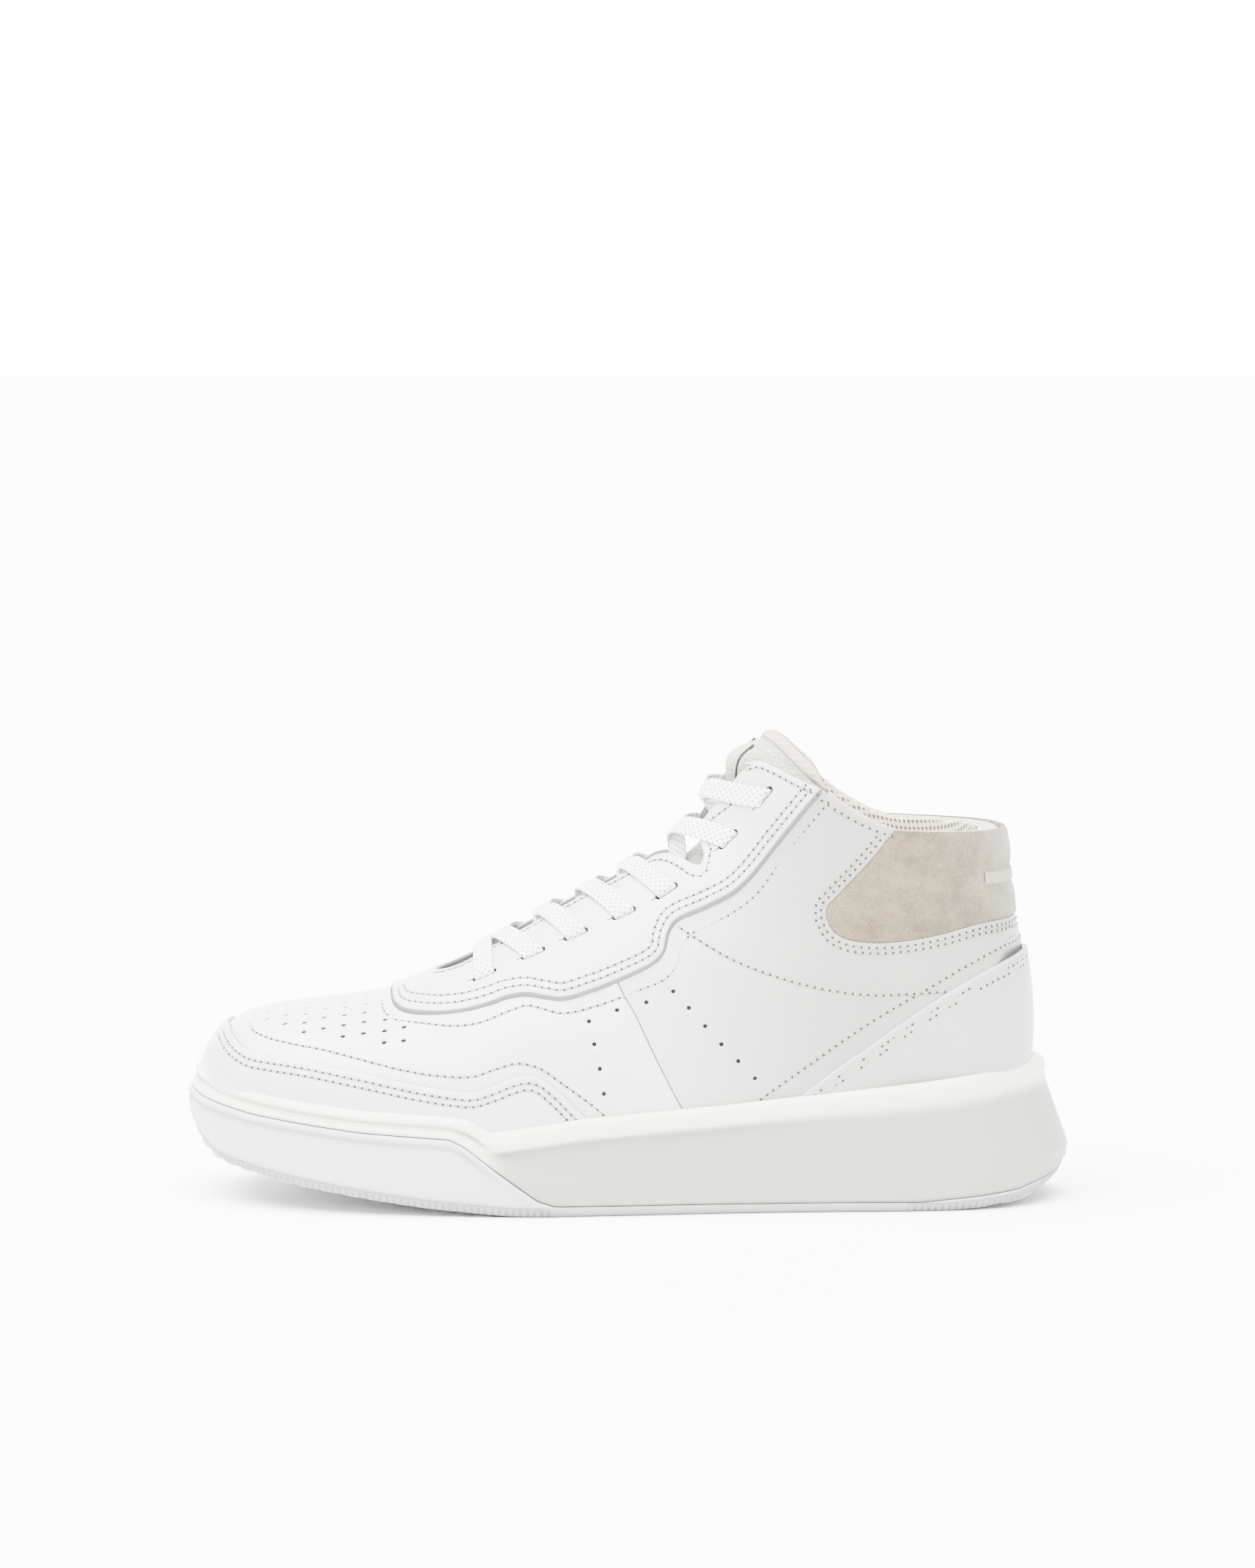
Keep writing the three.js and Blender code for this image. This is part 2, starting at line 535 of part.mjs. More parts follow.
const tongueFoot = grade([[-66, 62], [-38, 73], [0, 89], [25, 101], [45, 117], [61, 134]]);
const tongueOutline = [...tongueFoot, ...raise(tongueTop, -tongueRollDrop - padDrop).reverse(),
  ...grade([[-66, 130]])];
const clearOfTongueRoll = tongueRoll(gap);
const tonguePad = (outer, inner) => panel(shell(outer, inner), tongueOutline, bothSides)
  .subtract(clearOfTongueRoll);
const labelOutline = grade([[28, 153], [44, 144], [50, 154], [36, 164]]);
const labelHalf = 9 * gradeY;
const labelOuter = tongueOuter + gap + 1.2;
const label = shell(labelOuter, tongueOuter + gap).intersect(prism(labelOutline, -labelHalf, labelHalf));

// ---- lace ----

// A point on the flat facets of an offset skin, so that the lace keeps its gap to the panels.
function facetPoint({ u, angle }, offset) {
  const turn = ((angle + Math.PI) / (2 * Math.PI)) * ringSteps - 0.5;
  const row = Math.floor(u);
  const step = Math.floor(turn);
  const corner = (i, j) => liftPoint({ u: i, angle: -Math.PI + (2 * Math.PI * (j + 0.5)) / ringSteps }, offset);
  const near = corner(row, step).lerp(corner(row, step + 1), turn - step);
  const next = corner(row + 1, step).lerp(corner(row + 1, step + 1), turn - step);
  return near.lerp(next, u - row);
}

function laceStop(at, across) {
  return { at, across: across.clone(), halfWidth: laceWidth / 2, halfHeight: laceThickness / 2 };
}

// A strand that leaves eyelet a underneath and goes over into eyelet b: share of the way, lift.
const strand = [[0.03, laceUnder - 0.1], [0.06, laceUnder], [0.14, laceUnder], [0.24, laceUnder],
  [0.34, laceUnder + 0.15], [0.42, laceUnder + 2.2], [0.5, (laceUnder + laceOver) / 2], [0.65, laceOver],
  [0.76, laceOver], [0.87, laceOver], [0.96, laceOver], [0.985, laceOver - 0.4]];
const bar = [[0.5, laceOver], [0.62, laceOver], [0.74, laceOver], [0.86, laceOver], [0.96, laceOver],
  [0.985, laceOver - 0.4]];
const insideSlot = [laceOver - 1.9, laceUnder + 0.7];

// Stops that lie flat on the last at each place of a run.
function flatStops(places, lifts) {
  const points = places.map((place, i) => facetPoint(place, lifts[i]));
  return points.map((at, i) => {
    const along = points[Math.min(i + 1, points.length - 1)].clone().sub(points[Math.max(i - 1, 0)]);
    const across = lastNormal(places[i].u, places[i].angle).cross(along).normalize();
    return laceStop(at, across);
  });
}

function strandStops(route, a, b) {
  const places = route.map(([share]) => ({
    u: THREE.MathUtils.lerp(a.place.u, b.place.u, share),
    angle: THREE.MathUtils.lerp(a.place.angle, b.place.angle, share),
  }));
  const stops = flatStops(places, route.map(([, lift]) => lift));
  return [...stops, ...insideSlot.map((lift) => laceStop(b.at.clone().addScaledVector(b.out, lift), b.row))];
}

// From the top eyelet each end hangs inside the shoe between the tongue and the lining.
const tailLine = grade([[48.3, 137.8], [51, 134.5], [54, 129], [57, 118], [58, 104], [58.5, 90]]);
const agletTop = [58.5 * gradeX, 84 * gradeZ];
const agletOffset = liningInner - laceClear - agletRadius;

function laceTail(side) {
  const places = [...tailLine, agletTop].map(([x, z]) => findOnLast(x, z, side));
  return flatStops(places, places.map((_, i) => (i < tailLine.length ? laceUnder - 0.2 : agletOffset)));
}

function laceHalf(side) {
  const bottom = eyelets.length - 1;
  const stops = strandStops(bar, eyeletAt(bottom, -side), eyeletAt(bottom, side));
  let from = side;
  for (let k = bottom - 1; k >= 0; k -= 1) {
    stops.push(...strandStops(strand, eyeletAt(k + 1, from), eyeletAt(k, -from)));
    from = -from;
  }
  stops.push(...laceTail(from));
  stops.forEach((stop, i) => {
    if (i > 0 && stop.across.dot(stops[i - 1].across) < 0) stop.across.negate();
  });
  return sweep(stops, flatSection);
}

const lace = laceHalf(-1).add(laceHalf(1));

function aglet(side) {
  const top = facetPoint(findOnLast(...agletTop, side), agletOffset);
  const foot = facetPoint(findOnLast(agletTop[0], agletTop[1] - agletLength, side), agletOffset);
  const along = foot.clone().sub(top).normalize();
  const across = new THREE.Vector3(1, 0, 0);
  const stop = (reach, radius) => ({
    at: top.clone().addScaledVector(along, reach), across, halfWidth: radius, halfHeight: radius,
  });
  return sweep([stop(gap, agletRadius), stop(agletLength - 1, agletRadius), stop(agletLength, agletRadius * 0.7)],
    roundSection);
}

// ---- the assembly ----

const finishes = {
  whiteLeather: ['#d9d3ca', 0.5],
  cream: ['#d9cdb6', 0.9],
  suede: ['#a28867', 0.95],
  foam: ['#e3d9b8', 0.95],
  board: ['#c8b58f', 0.9],
  polyurethane: ['#cfccba', 0.55],
  rubber: ['#d3d3cd', 0.6],
  thread: ['#b09a78', 0.8],
  cotton: ['#e8e5df', 0.85],
  plastic: ['#efeeea', 0.3],
};

const pieces = [
  ['outsole', outsole, 'rubber'],
  ['midsole', midsole, 'polyurethane'],
  ['insole_board', board, 'board'],
  ['footbed_foam', footbed, 'foam'],
  ['footbed_cover', cover, 'cream'],
  ['toe_puff', puff, 'board'],
  ['heel_counter', counter, 'board'],
  ['vamp', vamp, 'whiteLeather'],
  ['mudguard', guard, 'whiteLeather'],
  ['rear_quarter_lateral', quarter(lateral), 'whiteLeather'],
  ['rear_quarter_medial', quarter(medial), 'whiteLeather'],
  ['eyestay', eyestay, 'whiteLeather'],
  ['eyestay_backing_lateral', backing(lateral), 'board'],
  ['eyestay_backing_medial', backing(medial), 'board'],
  ['heel_foxing', foxing, 'whiteLeather'],
  ['collar_suede', suede, 'suede'],
  ['collar_foam', foam, 'foam'],
  ['collar_binding', collarRoll(0), 'cream'],
  ['heel_bartack', bartack, 'thread'],
  ['vamp_lining', vampLining, 'cream'],
  ['quarter_lining_lateral', quarterLining(lateral), 'cream'],
  ['quarter_lining_medial', quarterLining(medial), 'cream'],
  ['tongue_leather', tonguePad(tongueOuter, tongueLeatherInner), 'whiteLeather'],
  ['tongue_foam', tonguePad(tongueFoamOuter, tongueFoamInner), 'foam'],
  ['tongue_lining', tonguePad(tongueLiningOuter, tongueLiningInner), 'cream'],
  ['tongue_binding', tongueRoll(0), 'cream'],
  ['tongue_label', label, 'whiteLeather'],
  ['lace', lace, 'cotton'],
  ['aglet_lateral', aglet(-1), 'plastic'],
  ['aglet_medial', aglet(1), 'plastic'],
];

// The origin is the middle of the whole shoe's footprint, at the height of the ground.
const whole = pieces.map(([, solid]) => solid.boundingBox());
const middleOf = (axis) => (Math.min(...whole.map((box) => box.min[axis]))
  + Math.max(...whole.map((box) => box.max[axis]))) / 2;
const shoe = new THREE.Group();
shoe.position.set(-middleOf(0), -middleOf(1), 0);

for (const [name, solid, finish] of pieces) {
  const { numProp, vertProperties, triVerts } = solid.getMesh();
  const geometry = new THREE.BufferGeometry();
  geometry.setAttribute('position', new THREE.BufferAttribute(vertProperties, numProp));
  geometry.setIndex(new THREE.BufferAttribute(triVerts, 1));
  const [color, roughness] = finishes[finish];
  const mesh = new THREE.Mesh(geometry, new THREE.MeshStandardMaterial({ color, roughness, metalness: 0 }));
  mesh.name = name;
  shoe.add(mesh);
}

export default shoe;
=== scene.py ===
import math

import bmesh
import bpy
import numpy as np
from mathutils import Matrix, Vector
from mathutils.geometry import delaunay_2d_cdt


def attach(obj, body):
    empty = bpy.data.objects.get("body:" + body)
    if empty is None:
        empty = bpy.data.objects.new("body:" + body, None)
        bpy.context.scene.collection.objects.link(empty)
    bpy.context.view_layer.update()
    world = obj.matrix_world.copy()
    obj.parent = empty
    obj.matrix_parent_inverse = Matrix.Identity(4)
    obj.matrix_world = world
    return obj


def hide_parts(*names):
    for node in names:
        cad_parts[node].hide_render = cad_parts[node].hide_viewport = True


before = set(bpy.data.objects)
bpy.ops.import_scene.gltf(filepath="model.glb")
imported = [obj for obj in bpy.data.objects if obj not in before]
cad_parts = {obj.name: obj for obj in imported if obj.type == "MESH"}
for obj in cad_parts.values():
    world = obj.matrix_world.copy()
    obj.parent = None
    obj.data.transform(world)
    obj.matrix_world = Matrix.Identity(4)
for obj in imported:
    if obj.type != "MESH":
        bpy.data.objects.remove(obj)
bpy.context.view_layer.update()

mm = 0.001
rng = np.random.default_rng(7)
pi = math.pi

# The drawing's origin in the shared frame, in millimetres.
drawingShift = np.array([-0.2, 0.378, 0.0])


# The last that every panel is drawn on. Sections from the toe tip to above the collar, in millimetres:
# ridge x, z; base x, z; half width lateral, medial; centre y; share of the way down where it is widest;
# fullness above, below.
lastRows = np.array([
    [-146.5, 41.0, -146.5, 41.0, 0.0, 0.0, 6.5, 0.55, 2.0, 2.2],
    [-145.5, 46.8, -145.8, 37.0, 9.5, 9.5, 6.5, 0.55, 2.0, 2.3],
    [-142.9, 52.6, -143.6, 33.5, 18.5, 18.5, 6.4, 0.55, 2.1, 2.5],
    [-138.2, 58.4, -139.8, 30.3, 27.0, 26.5, 6.2, 0.58, 2.1, 2.8],
    [-130.5, 63.0, -132.5, 26.8, 35.0, 34.0, 5.4, 0.62, 2.2, 3.1],
    [-118.5, 65.8, -120.0, 23.0, 41.5, 41.0, 4.2, 0.66, 2.25, 3.4],
    [-102.0, 68.0, -103.0, 19.0, 46.5, 46.5, 2.6, 0.70, 2.25, 3.6],
    [-82.0, 71.2, -82.0, 15.5, 49.5, 50.0, 1.2, 0.72, 2.2, 3.6],
    [-62.0, 78.5, -60.0, 13.0, 51.5, 50.0, 0.2, 0.74, 2.1, 3.6],
    [-40.0, 90.5, -34.0, 12.6, 51.5, 47.0, 0.0, 0.75, 2.0, 3.6],
    [-18.0, 103.0, -4.0, 14.0, 48.5, 43.0, 0.0, 0.75, 1.95, 3.6],
    [1.0, 113.5, 30.0, 17.2, 44.5, 39.5, 0.0, 0.74, 1.95, 3.4],
    [14.0, 122.0, 66.0, 21.4, 41.5, 37.5, 0.0, 0.72, 2.0, 3.2],
    [21.5, 129.0, 98.0, 25.0, 39.5, 37.0, 0.5, 0.70, 2.0, 3.0],
    [25.5, 135.5, 122.0, 28.0, 38.0, 36.5, 0.8, 0.67, 2.0, 2.8],
    [28.5, 141.0, 135.0, 37.0, 36.8, 36.0, 1.0, 0.64, 2.0, 2.6],
    [31.0, 146.0, 138.5, 52.0, 36.0, 35.5, 1.0, 0.62, 2.0, 2.5],
    [33.5, 151.0, 138.8, 69.0, 35.2, 35.0, 1.0, 0.60, 2.0, 2.4],
    [36.5, 156.5, 136.5, 86.0, 34.6, 34.5, 1.0, 0.59, 2.0, 2.4],
    [40.0, 162.0, 132.8, 103.0, 34.4, 34.4, 1.0, 0.58, 2.0, 2.4],
    [44.0, 168.5, 130.6, 118.0, 34.6, 34.6, 1.0, 0.57, 2.0, 2.4],
    [48.5, 175.5, 130.5, 134.0, 35.2, 35.2, 1.0, 0.56, 2.0, 2.4],
    [53.0, 183.0, 131.5, 152.0, 36.0, 36.0, 1.0, 0.55, 2.0, 2.4],
    [57.5, 190.0, 133.0, 170.0, 37.0, 37.0, 1.0, 0.55, 2.0, 2.4],
])
topRow = len(lastRows) - 1
# One more row each way, so that the curve through them has a round toe and a straight top.
first = lastRows[1][[2, 3, 0, 1, 4, 5, 6, 7, 8, 9]] * [1, 1, 1, 1, -1, -1, 1, 1, 1, 1]
rows = np.vstack([first, lastRows, 2 * lastRows[-1] - lastRows[-2]])


def rowsAt(u):
    u = np.clip(u, 0, topRow - 1e-6)
    i = np.floor(u).astype(int)
    t = (u - i)[..., None]
    a, b, c, d = rows[i], rows[i + 1], rows[i + 2], rows[i + 3]
    mixed = 0.5 * (2 * b + (c - a) * t + (2 * a - 5 * b + 4 * c - d) * t ** 2 + (3 * b - a - 3 * c + d) * t ** 3)
    return np.moveaxis(mixed, -1, 0)


# u counts rows from the toe; the angle runs from 0 on the ridge to pi on the base, lateral negative.
def lastPoint(u, angle):
    u, angle = np.broadcast_arrays(np.asarray(u, float), np.asarray(angle, float))
    angle = (angle + pi) % (2 * pi) - pi
    rx, rz, bx, bz, lateral, medial, centre, share, above, below = rowsAt(u)
    c, s = np.abs(np.cos(angle)), np.abs(np.sin(angle))
    front = np.abs(angle) <= pi / 2
    power = 2 / np.where(front, above, below)
    drop = c ** power
    down = np.where(front, share * (1 - drop), share + (1 - share) * drop)
    y = centre + np.sign(angle) * np.where(angle < 0, lateral, medial) * s ** power
    return np.stack([rx + (bx - rx) * down, y, rz + (bz - rz) * down], -1)


def lastNormal(u, angle):
    u, angle = np.broadcast_arrays(np.asarray(u, float), np.asarray(angle, float))
    low, high = np.maximum(u - 0.05, 0.002), np.minimum(u + 0.05, topRow)
    along = lastPoint(high, angle) - lastPoint(low, angle)
    around = lastPoint(u, angle + 0.05) - lastPoint(u, angle - 0.05)
    normal = np.cross(around, along)
    normal /= np.linalg.norm(normal, axis=-1, keepdims=True)
    r = rowsAt(u)
    middle = np.stack([r[0] + (r[2] - r[0]) * r[7], r[6], r[1] + (r[3] - r[1]) * r[7]], -1)
    inward = np.sum((lastPoint(u, angle) - middle) * normal, -1, keepdims=True) < 0
    return np.where(inward, -normal, normal)


# The place (u, angle) of side view points (x, z) on one side, -1 lateral or 1 medial.
def onSide(line, side):
    x, z = np.asarray(line, float).T
    low, high = np.full(x.shape, 0.01), np.full(x.shape, float(topRow))
    for _ in range(40):
        mid = (low + high) / 2
        rx, rz, bx, bz = rowsAt(mid)[:4]
        outside = (bx - rx) * (z - rz) - (bz - rz) * (x - rx) > 0
        low, high = np.where(outside, mid, low), np.where(outside, high, mid)
    rx, rz, bx, bz, _, _, _, share, above, below = rowsAt(low)
    down = np.clip(np.hypot(x - rx, z - rz) / np.hypot(bx - rx, bz - rz), 0, 1)
    front = down <= share
    drop = np.clip(np.where(front, 1 - down / share, (down - share) / (1 - share)), 0, 1)
    turn = np.arccos(drop ** (np.where(front, above, below) / 2))
    return np.stack([low, side * np.where(front, turn, pi - turn)], -1)


# The place of plan view points (x, y) on the top of the last.
def onTop(line):
    x, y = np.asarray(line, float).T
    low, high = np.full(x.shape, 0.2), np.full(x.shape, float(topRow))

    def turnAt(u):
        r = rowsAt(u)
        half = np.where(y < r[6], r[4], r[5])
        s = np.clip(np.abs(y - r[6]) / np.maximum(half, 0.1), 0, 1) ** (r[8] / 2)
        return np.sign(y - r[6]) * np.arcsin(s)

    for _ in range(40):
        mid = (low + high) / 2
        short = lastPoint(mid, turnAt(mid))[..., 0] < x
        low, high = np.where(short, mid, low), np.where(short, high, mid)
    return np.stack([low, turnAt(low)], -1)


# Points off the last by an offset along its normal, in the shared frame in metres.
def lift(places, offset):
    u, angle = places[..., 0], places[..., 1]
    point = lastPoint(u, angle) + lastNormal(u, angle) * np.asarray(offset, float)[..., None]
    return (point + drawingShift) * mm


def smoothstep(value, low, high):
    t = np.clip((value - low) / (high - low), 0, 1)
    return t * t * (3 - 2 * t)


# Lengths along and around the last, which lay it flat.
uTable = np.linspace(0, topRow, topRow * 10 + 1)
aTable = np.linspace(-pi, pi, 241)
skin = lastPoint(uTable[:, None], aTable[None, :])
lengthTable = np.cumsum(np.linalg.norm(np.diff(skin, axis=0, prepend=skin[:1]), axis=-1), axis=0)
aroundTable = np.cumsum(np.linalg.norm(np.diff(skin, axis=1, prepend=skin[:, :1]), axis=-1), axis=1)
aroundTable -= aroundTable[:, 120:121]


def lookUp(table, u, angle):
    i = np.clip(u * 10, 0, len(uTable) - 1.001)
    j = np.clip((angle + pi) / (2 * pi) * 240, 0, 239.999)
    i0, j0 = i.astype(int), j.astype(int)
    s, t = i - i0, j - j0
    low = table[i0, j0] * (1 - t) + table[i0, j0 + 1] * t
    return low * (1 - s) + (table[i0 + 1, j0] * (1 - t) + table[i0 + 1, j0 + 1] * t) * s


# Flat millimetres of places, measured from the ridge, or from the back line for what wraps the heel.
def flatten(places, base, back):
    u, angle = places[..., 0], places[..., 1]
    along = lookUp(lengthTable, u, angle) - lookUp(lengthTable, np.full_like(u, base), angle)
    around = lookUp(aroundTable, u, angle)
    if back:
        around = around - lookUp(aroundTable, u, np.where(angle > 0, pi, -pi))
    return np.stack([along, around], -1)


# Places spread evenly over the whole last, in rows a spacing apart.
def spread(spacing, base, back):
    found = []
    reach = 130
    for k, around in enumerate(np.arange(-reach, reach, spacing * 0.87)):
        u, turn = [], []
        for i in range(1, len(uTable)):
            table = aroundTable[i]
            low, high = table[0], table[-1]
            if back:
                at = around + (high if around < 0 else low)
                inside = (0 < at) if around < 0 else (at < 0)
            else:
                at, inside = around, low < around < high
            if inside:
                u.append(uTable[i])
                turn.append(np.interp(at, table, aTable))
        if len(u) < 3:
            continue
        row = np.stack([np.array(u), np.array(turn)], -1)
        along = np.maximum.accumulate(flatten(row, base, back)[:, 0] + np.arange(len(u)) * 1e-6)
        at = np.arange(along[0] + spacing * (0.25 + 0.5 * (k % 2)), along[-1], spacing)
        found.append(np.stack([np.interp(at, along, row[:, 0]), np.interp(at, along, row[:, 1])], -1))
    return np.concatenate(found)


def insideLoops(points, loops):
    inside = np.zeros(len(points), bool)
    x, y = points[:, 0], points[:, 1]
    for loop in loops:
        ends = np.roll(loop, -1, axis=0)
        for (x0, y0), (x1, y1) in zip(loop, ends):
            if y0 == y1:
                continue
            crosses = (y0 > y) != (y1 > y)
            inside ^= crosses & (x < (x1 - x0) * (y - y0) / (y1 - y0) + x0)
    return inside


def nearest(points, others):
    found = np.empty(len(points))
    for k in range(0, len(points), 2000):
        block = points[k:k + 2000, None, :] - others[None, :, :]
        found[k:k + 2000] = np.sqrt(np.min(np.sum(block ** 2, -1), axis=1))
    return found


# A smooth line through drawn points, a step apart; corners are indices that stay sharp.
def smoothLine(points, step=1.0, corners=()):
    points = np.asarray(points, float)
    stops = sorted({0, len(points) - 1, *[c % len(points) for c in corners]})
    out = []
    for start, end in zip(stops, stops[1:]):
        part = points[start:end + 1]
        padded = np.vstack([2 * part[0] - part[1], part, 2 * part[-1] - part[-2]])
        for a, b, c, d in zip(padded, padded[1:], padded[2:], padded[3:]):
            count = max(1, int(np.linalg.norm(c - b) / step))
            knots = np.cumsum([0] + [max(np.linalg.norm(q - p), 1e-6) ** 0.5 for p, q in ((a, b), (b, c), (c, d))])
            t = np.linspace(knots[1], knots[2], count + 1)[:-1, None]
            t0, t1, t2, t3 = knots
            a1 = (t1 - t) / (t1 - t0) * a + (t - t0) / (t1 - t0) * b
            a2 = (t2 - t) / (t2 - t1) * b + (t - t1) / (t2 - t1) * c
            a3 = (t3 - t) / (t3 - t2) * c + (t - t2) / (t3 - t2) * d
            b1 = (t2 - t) / (t2 - t0) * a1 + (t - t0) / (t2 - t0) * a2
            b2 = (t3 - t) / (t3 - t1) * a2 + (t - t1) / (t3 - t1) * a3
            out.append((t2 - t) / (t2 - t1) * b1 + (t - t1) / (t2 - t1) * b2)
    return np.vstack([*out, points[-1:]])


def clean(loop):
    keep = np.linalg.norm(loop - np.roll(loop, 1, axis=0), axis=-1) > 0.12
    return loop[keep], keep


def meshObject(name, points, faces, materials, indices=None, smooth=True):
    data = bpy.data.meshes.new(name)
    data.from_pydata([tuple(p) for p in points], [], [tuple(int(i) for i in f) for f in faces])
    obj = bpy.data.objects.new(name, data)
    bpy.context.scene.collection.objects.link(obj)
    for material in materials:
        data.materials.append(material)
    if indices is not None:
        data.polygons.foreach_set("material_index", np.asarray(indices, dtype=np.int32))
    data.polygons.foreach_set("use_smooth", np.full(len(data.polygons), smooth))
    data.update()
    return obj


# A cut panel on the last: an outline and holes as places, and offsets for its two faces.
def panel(name, outer, holes, top, bottom, materials, spacing=2.4, base=9.0, back=False, bevel=0.4, flare=0.0,
          flareLines=()):
    loops, places = [], []
    for loop in [outer, *holes]:
        flat, keep = clean(flatten(loop, base, back))
        loops.append(flat)
        places.append(loop[keep])
    edge = np.concatenate(loops)
    free = spread(spacing, base, back)
    flatFree = flatten(free, base, back)
    low, high = edge.min(0), edge.max(0)
    near = np.all((flatFree > low) & (flatFree < high), axis=1)
    free, flatFree = free[near], flatFree[near]
    inside = insideLoops(flatFree, loops)
    free, flatFree = free[inside], flatFree[inside]
    clear = nearest(flatFree, edge) > bevel + spacing * 0.35
    free, flatFree = free[clear], flatFree[clear]
    for flat, place in zip(list(loops), list(places)):
        along = np.roll(flat, -1, axis=0) - np.roll(flat, 1, axis=0)
        across = np.stack([-along[:, 1], along[:, 0]], -1)
        across /= np.maximum(np.linalg.norm(across, axis=1, keepdims=True), 1e-9)
        for side in (-1, 1):
            moved = flat + across * bevel * side
            good = insideLoops(moved, loops)
            if good.any():
                distance = nearest(moved, edge)
                good &= distance > bevel * 0.7
                free = np.vstack([free, place[good] + stepPlaces(place[good], (moved - flat)[good], base, back)])
                flatFree = np.vstack([flatFree, moved[good]])
    allFlat = np.vstack([edge, flatFree])
    allPlaces = np.vstack([*places, free])
    edges, start = [], 0
    for loop in loops:
        n = len(loop)
        edges += [(start + k, start + (k + 1) % n) for k in range(n)]
        start += n
    verts, _, faces, origins, _, _ = delaunay_2d_cdt([Vector(p) for p in allFlat], edges, [], 1, 1e-4, True)
    flat = np.array([tuple(v) for v in verts])
    pick = [o[0] if o else int(np.argmin(np.sum((allFlat - flat[k]) ** 2, 1))) for k, o in enumerate(origins)]
    placed = allPlaces[pick]
    faces = np.array([f for f in faces if len(f) == 3])
    centre = flat[faces].mean(1)
    faces = faces[insideLoops(centre, loops)]
    used = np.unique(faces)
    renumber = np.full(len(flat), -1)
    renumber[used] = np.arange(len(used))
    faces, placed, flat = renumber[faces], placed[used], flat[used]
    toEdge = nearest(flat, edge)
    outerPoints = lift(placed, top(placed, toEdge))
    foot = placed
    if flare:
        along = np.roll(loops[0], -1, axis=0) - np.roll(loops[0], 1, axis=0)
        across = np.stack([-along[:, 1], along[:, 0]], -1)
        across /= np.maximum(np.linalg.norm(across, axis=1, keepdims=True), 1e-9)
        across *= np.where(insideLoops(loops[0] + across * 0.3, loops[:1]), -1, 1)[:, None]
        moves = np.zeros_like(placed)
        if flareLines:
            drawn = np.concatenate([lastPoint(line[:, 0], line[:, 1]) for line in flareLines])
            flared = nearest(lastPoint(placed[:, 0], placed[:, 1]), drawn) < 0.4
        for k, point in enumerate(flat):
            if toEdge[k] < 1e-4:
                gaps = np.sum((loops[0] - point) ** 2, 1)
                if gaps.min() < 1e-6 and (not flareLines or flared[k]):
                    moves[k] = across[np.argmin(gaps)] * flare
        foot = placed + stepPlaces(placed, moves, base, back)
    innerPoints = lift(foot, bottom(placed, toEdge))
    a, b, c = outerPoints[faces[:, 0]], outerPoints[faces[:, 1]], outerPoints[faces[:, 2]]
    facing = np.sum(np.cross(b - a, c - a) * lastNormal(*placed[faces[:, 0]].T), -1)
    faces = np.where((facing < 0)[:, None], faces[:, ::-1], faces)
    count = len(placed)
    seen = {}
    for f in faces:
        for i in range(3):
            pair = (int(f[i]), int(f[(i + 1) % 3]))
            seen[pair] = True
    rim = [p for p in seen if (p[1], p[0]) not in seen]
    quads = [(q, p, p + count, q + count) for p, q in rim]
    everyFace = [*faces, *(faces[:, ::-1] + count), *quads]
    indices = [0] * (2 * len(faces)) + [min(1, len(materials) - 1)] * len(quads)
    obj = meshObject(name, np.vstack([outerPoints, innerPoints]), everyFace, materials, indices)
    layFlat = obj.data.uv_layers.new(name="flat")
    corners = np.empty(len(obj.data.loops), dtype=np.int32)
    obj.data.loops.foreach_get("vertex_index", corners)
    layFlat.data.foreach_set("uv", (np.vstack([flat, flat])[corners] * mm).ravel())
    return obj


# The change of place for a small move on the flat.
def stepPlaces(places, move, base, back):
    u, angle = places[:, 0], places[:, 1]
    here = flatten(places, base, back)
    byU = (flatten(np.stack([u + 0.02, angle], -1), base, back) - here) / 0.02
    byA = (flatten(np.stack([u, angle + 0.01 * np.where(angle > 0, -1, 1)], -1), base, back) - here)
    byA /= (0.01 * np.where(angle > 0, -1, 1))[:, None]
    det = byU[:, 0] * byA[:, 1] - byU[:, 1] * byA[:, 0]
    det = np.where(np.abs(det) < 1e-6, 1e-6, det)
    return np.stack([(move[:, 0] * byA[:, 1] - move[:, 1] * byA[:, 0]) / det,
                     (byU[:, 0] * move[:, 1] - byU[:, 1] * move[:, 0]) / det], -1)


# Even steps along a line of places at an offset from the last: places, points, directions and normals.
def alongPlaces(places, offset, step):
    points = lift(places, np.broadcast_to(offset, len(places)))
    reach = np.concatenate([[0], np.cumsum(np.linalg.norm(np.diff(points, axis=0), axis=1))]) / mm
    count = max(2, int(round(reach[-1] / step)))
    at = (np.arange(count) + 0.5) * reach[-1] / count
    u = np.interp(at, reach, places[:, 0])
    turn = np.interp(at, reach, places[:, 1])
    spot = np.stack([u, turn], -1)
    point = np.stack([np.interp(at, reach, points[:, k]) for k in range(3)], -1)
    ahead = np.stack([np.interp(at + 0.3, reach, points[:, k]) for k in range(3)], -1)
    behind = np.stack([np.interp(at - 0.3, reach, points[:, k]) for k in range(3)], -1)
    along = ahead - behind
    along /= np.maximum(np.linalg.norm(along, axis=1, keepdims=True), 1e-12)
    return spot, point, along, lastNormal(u, turn)


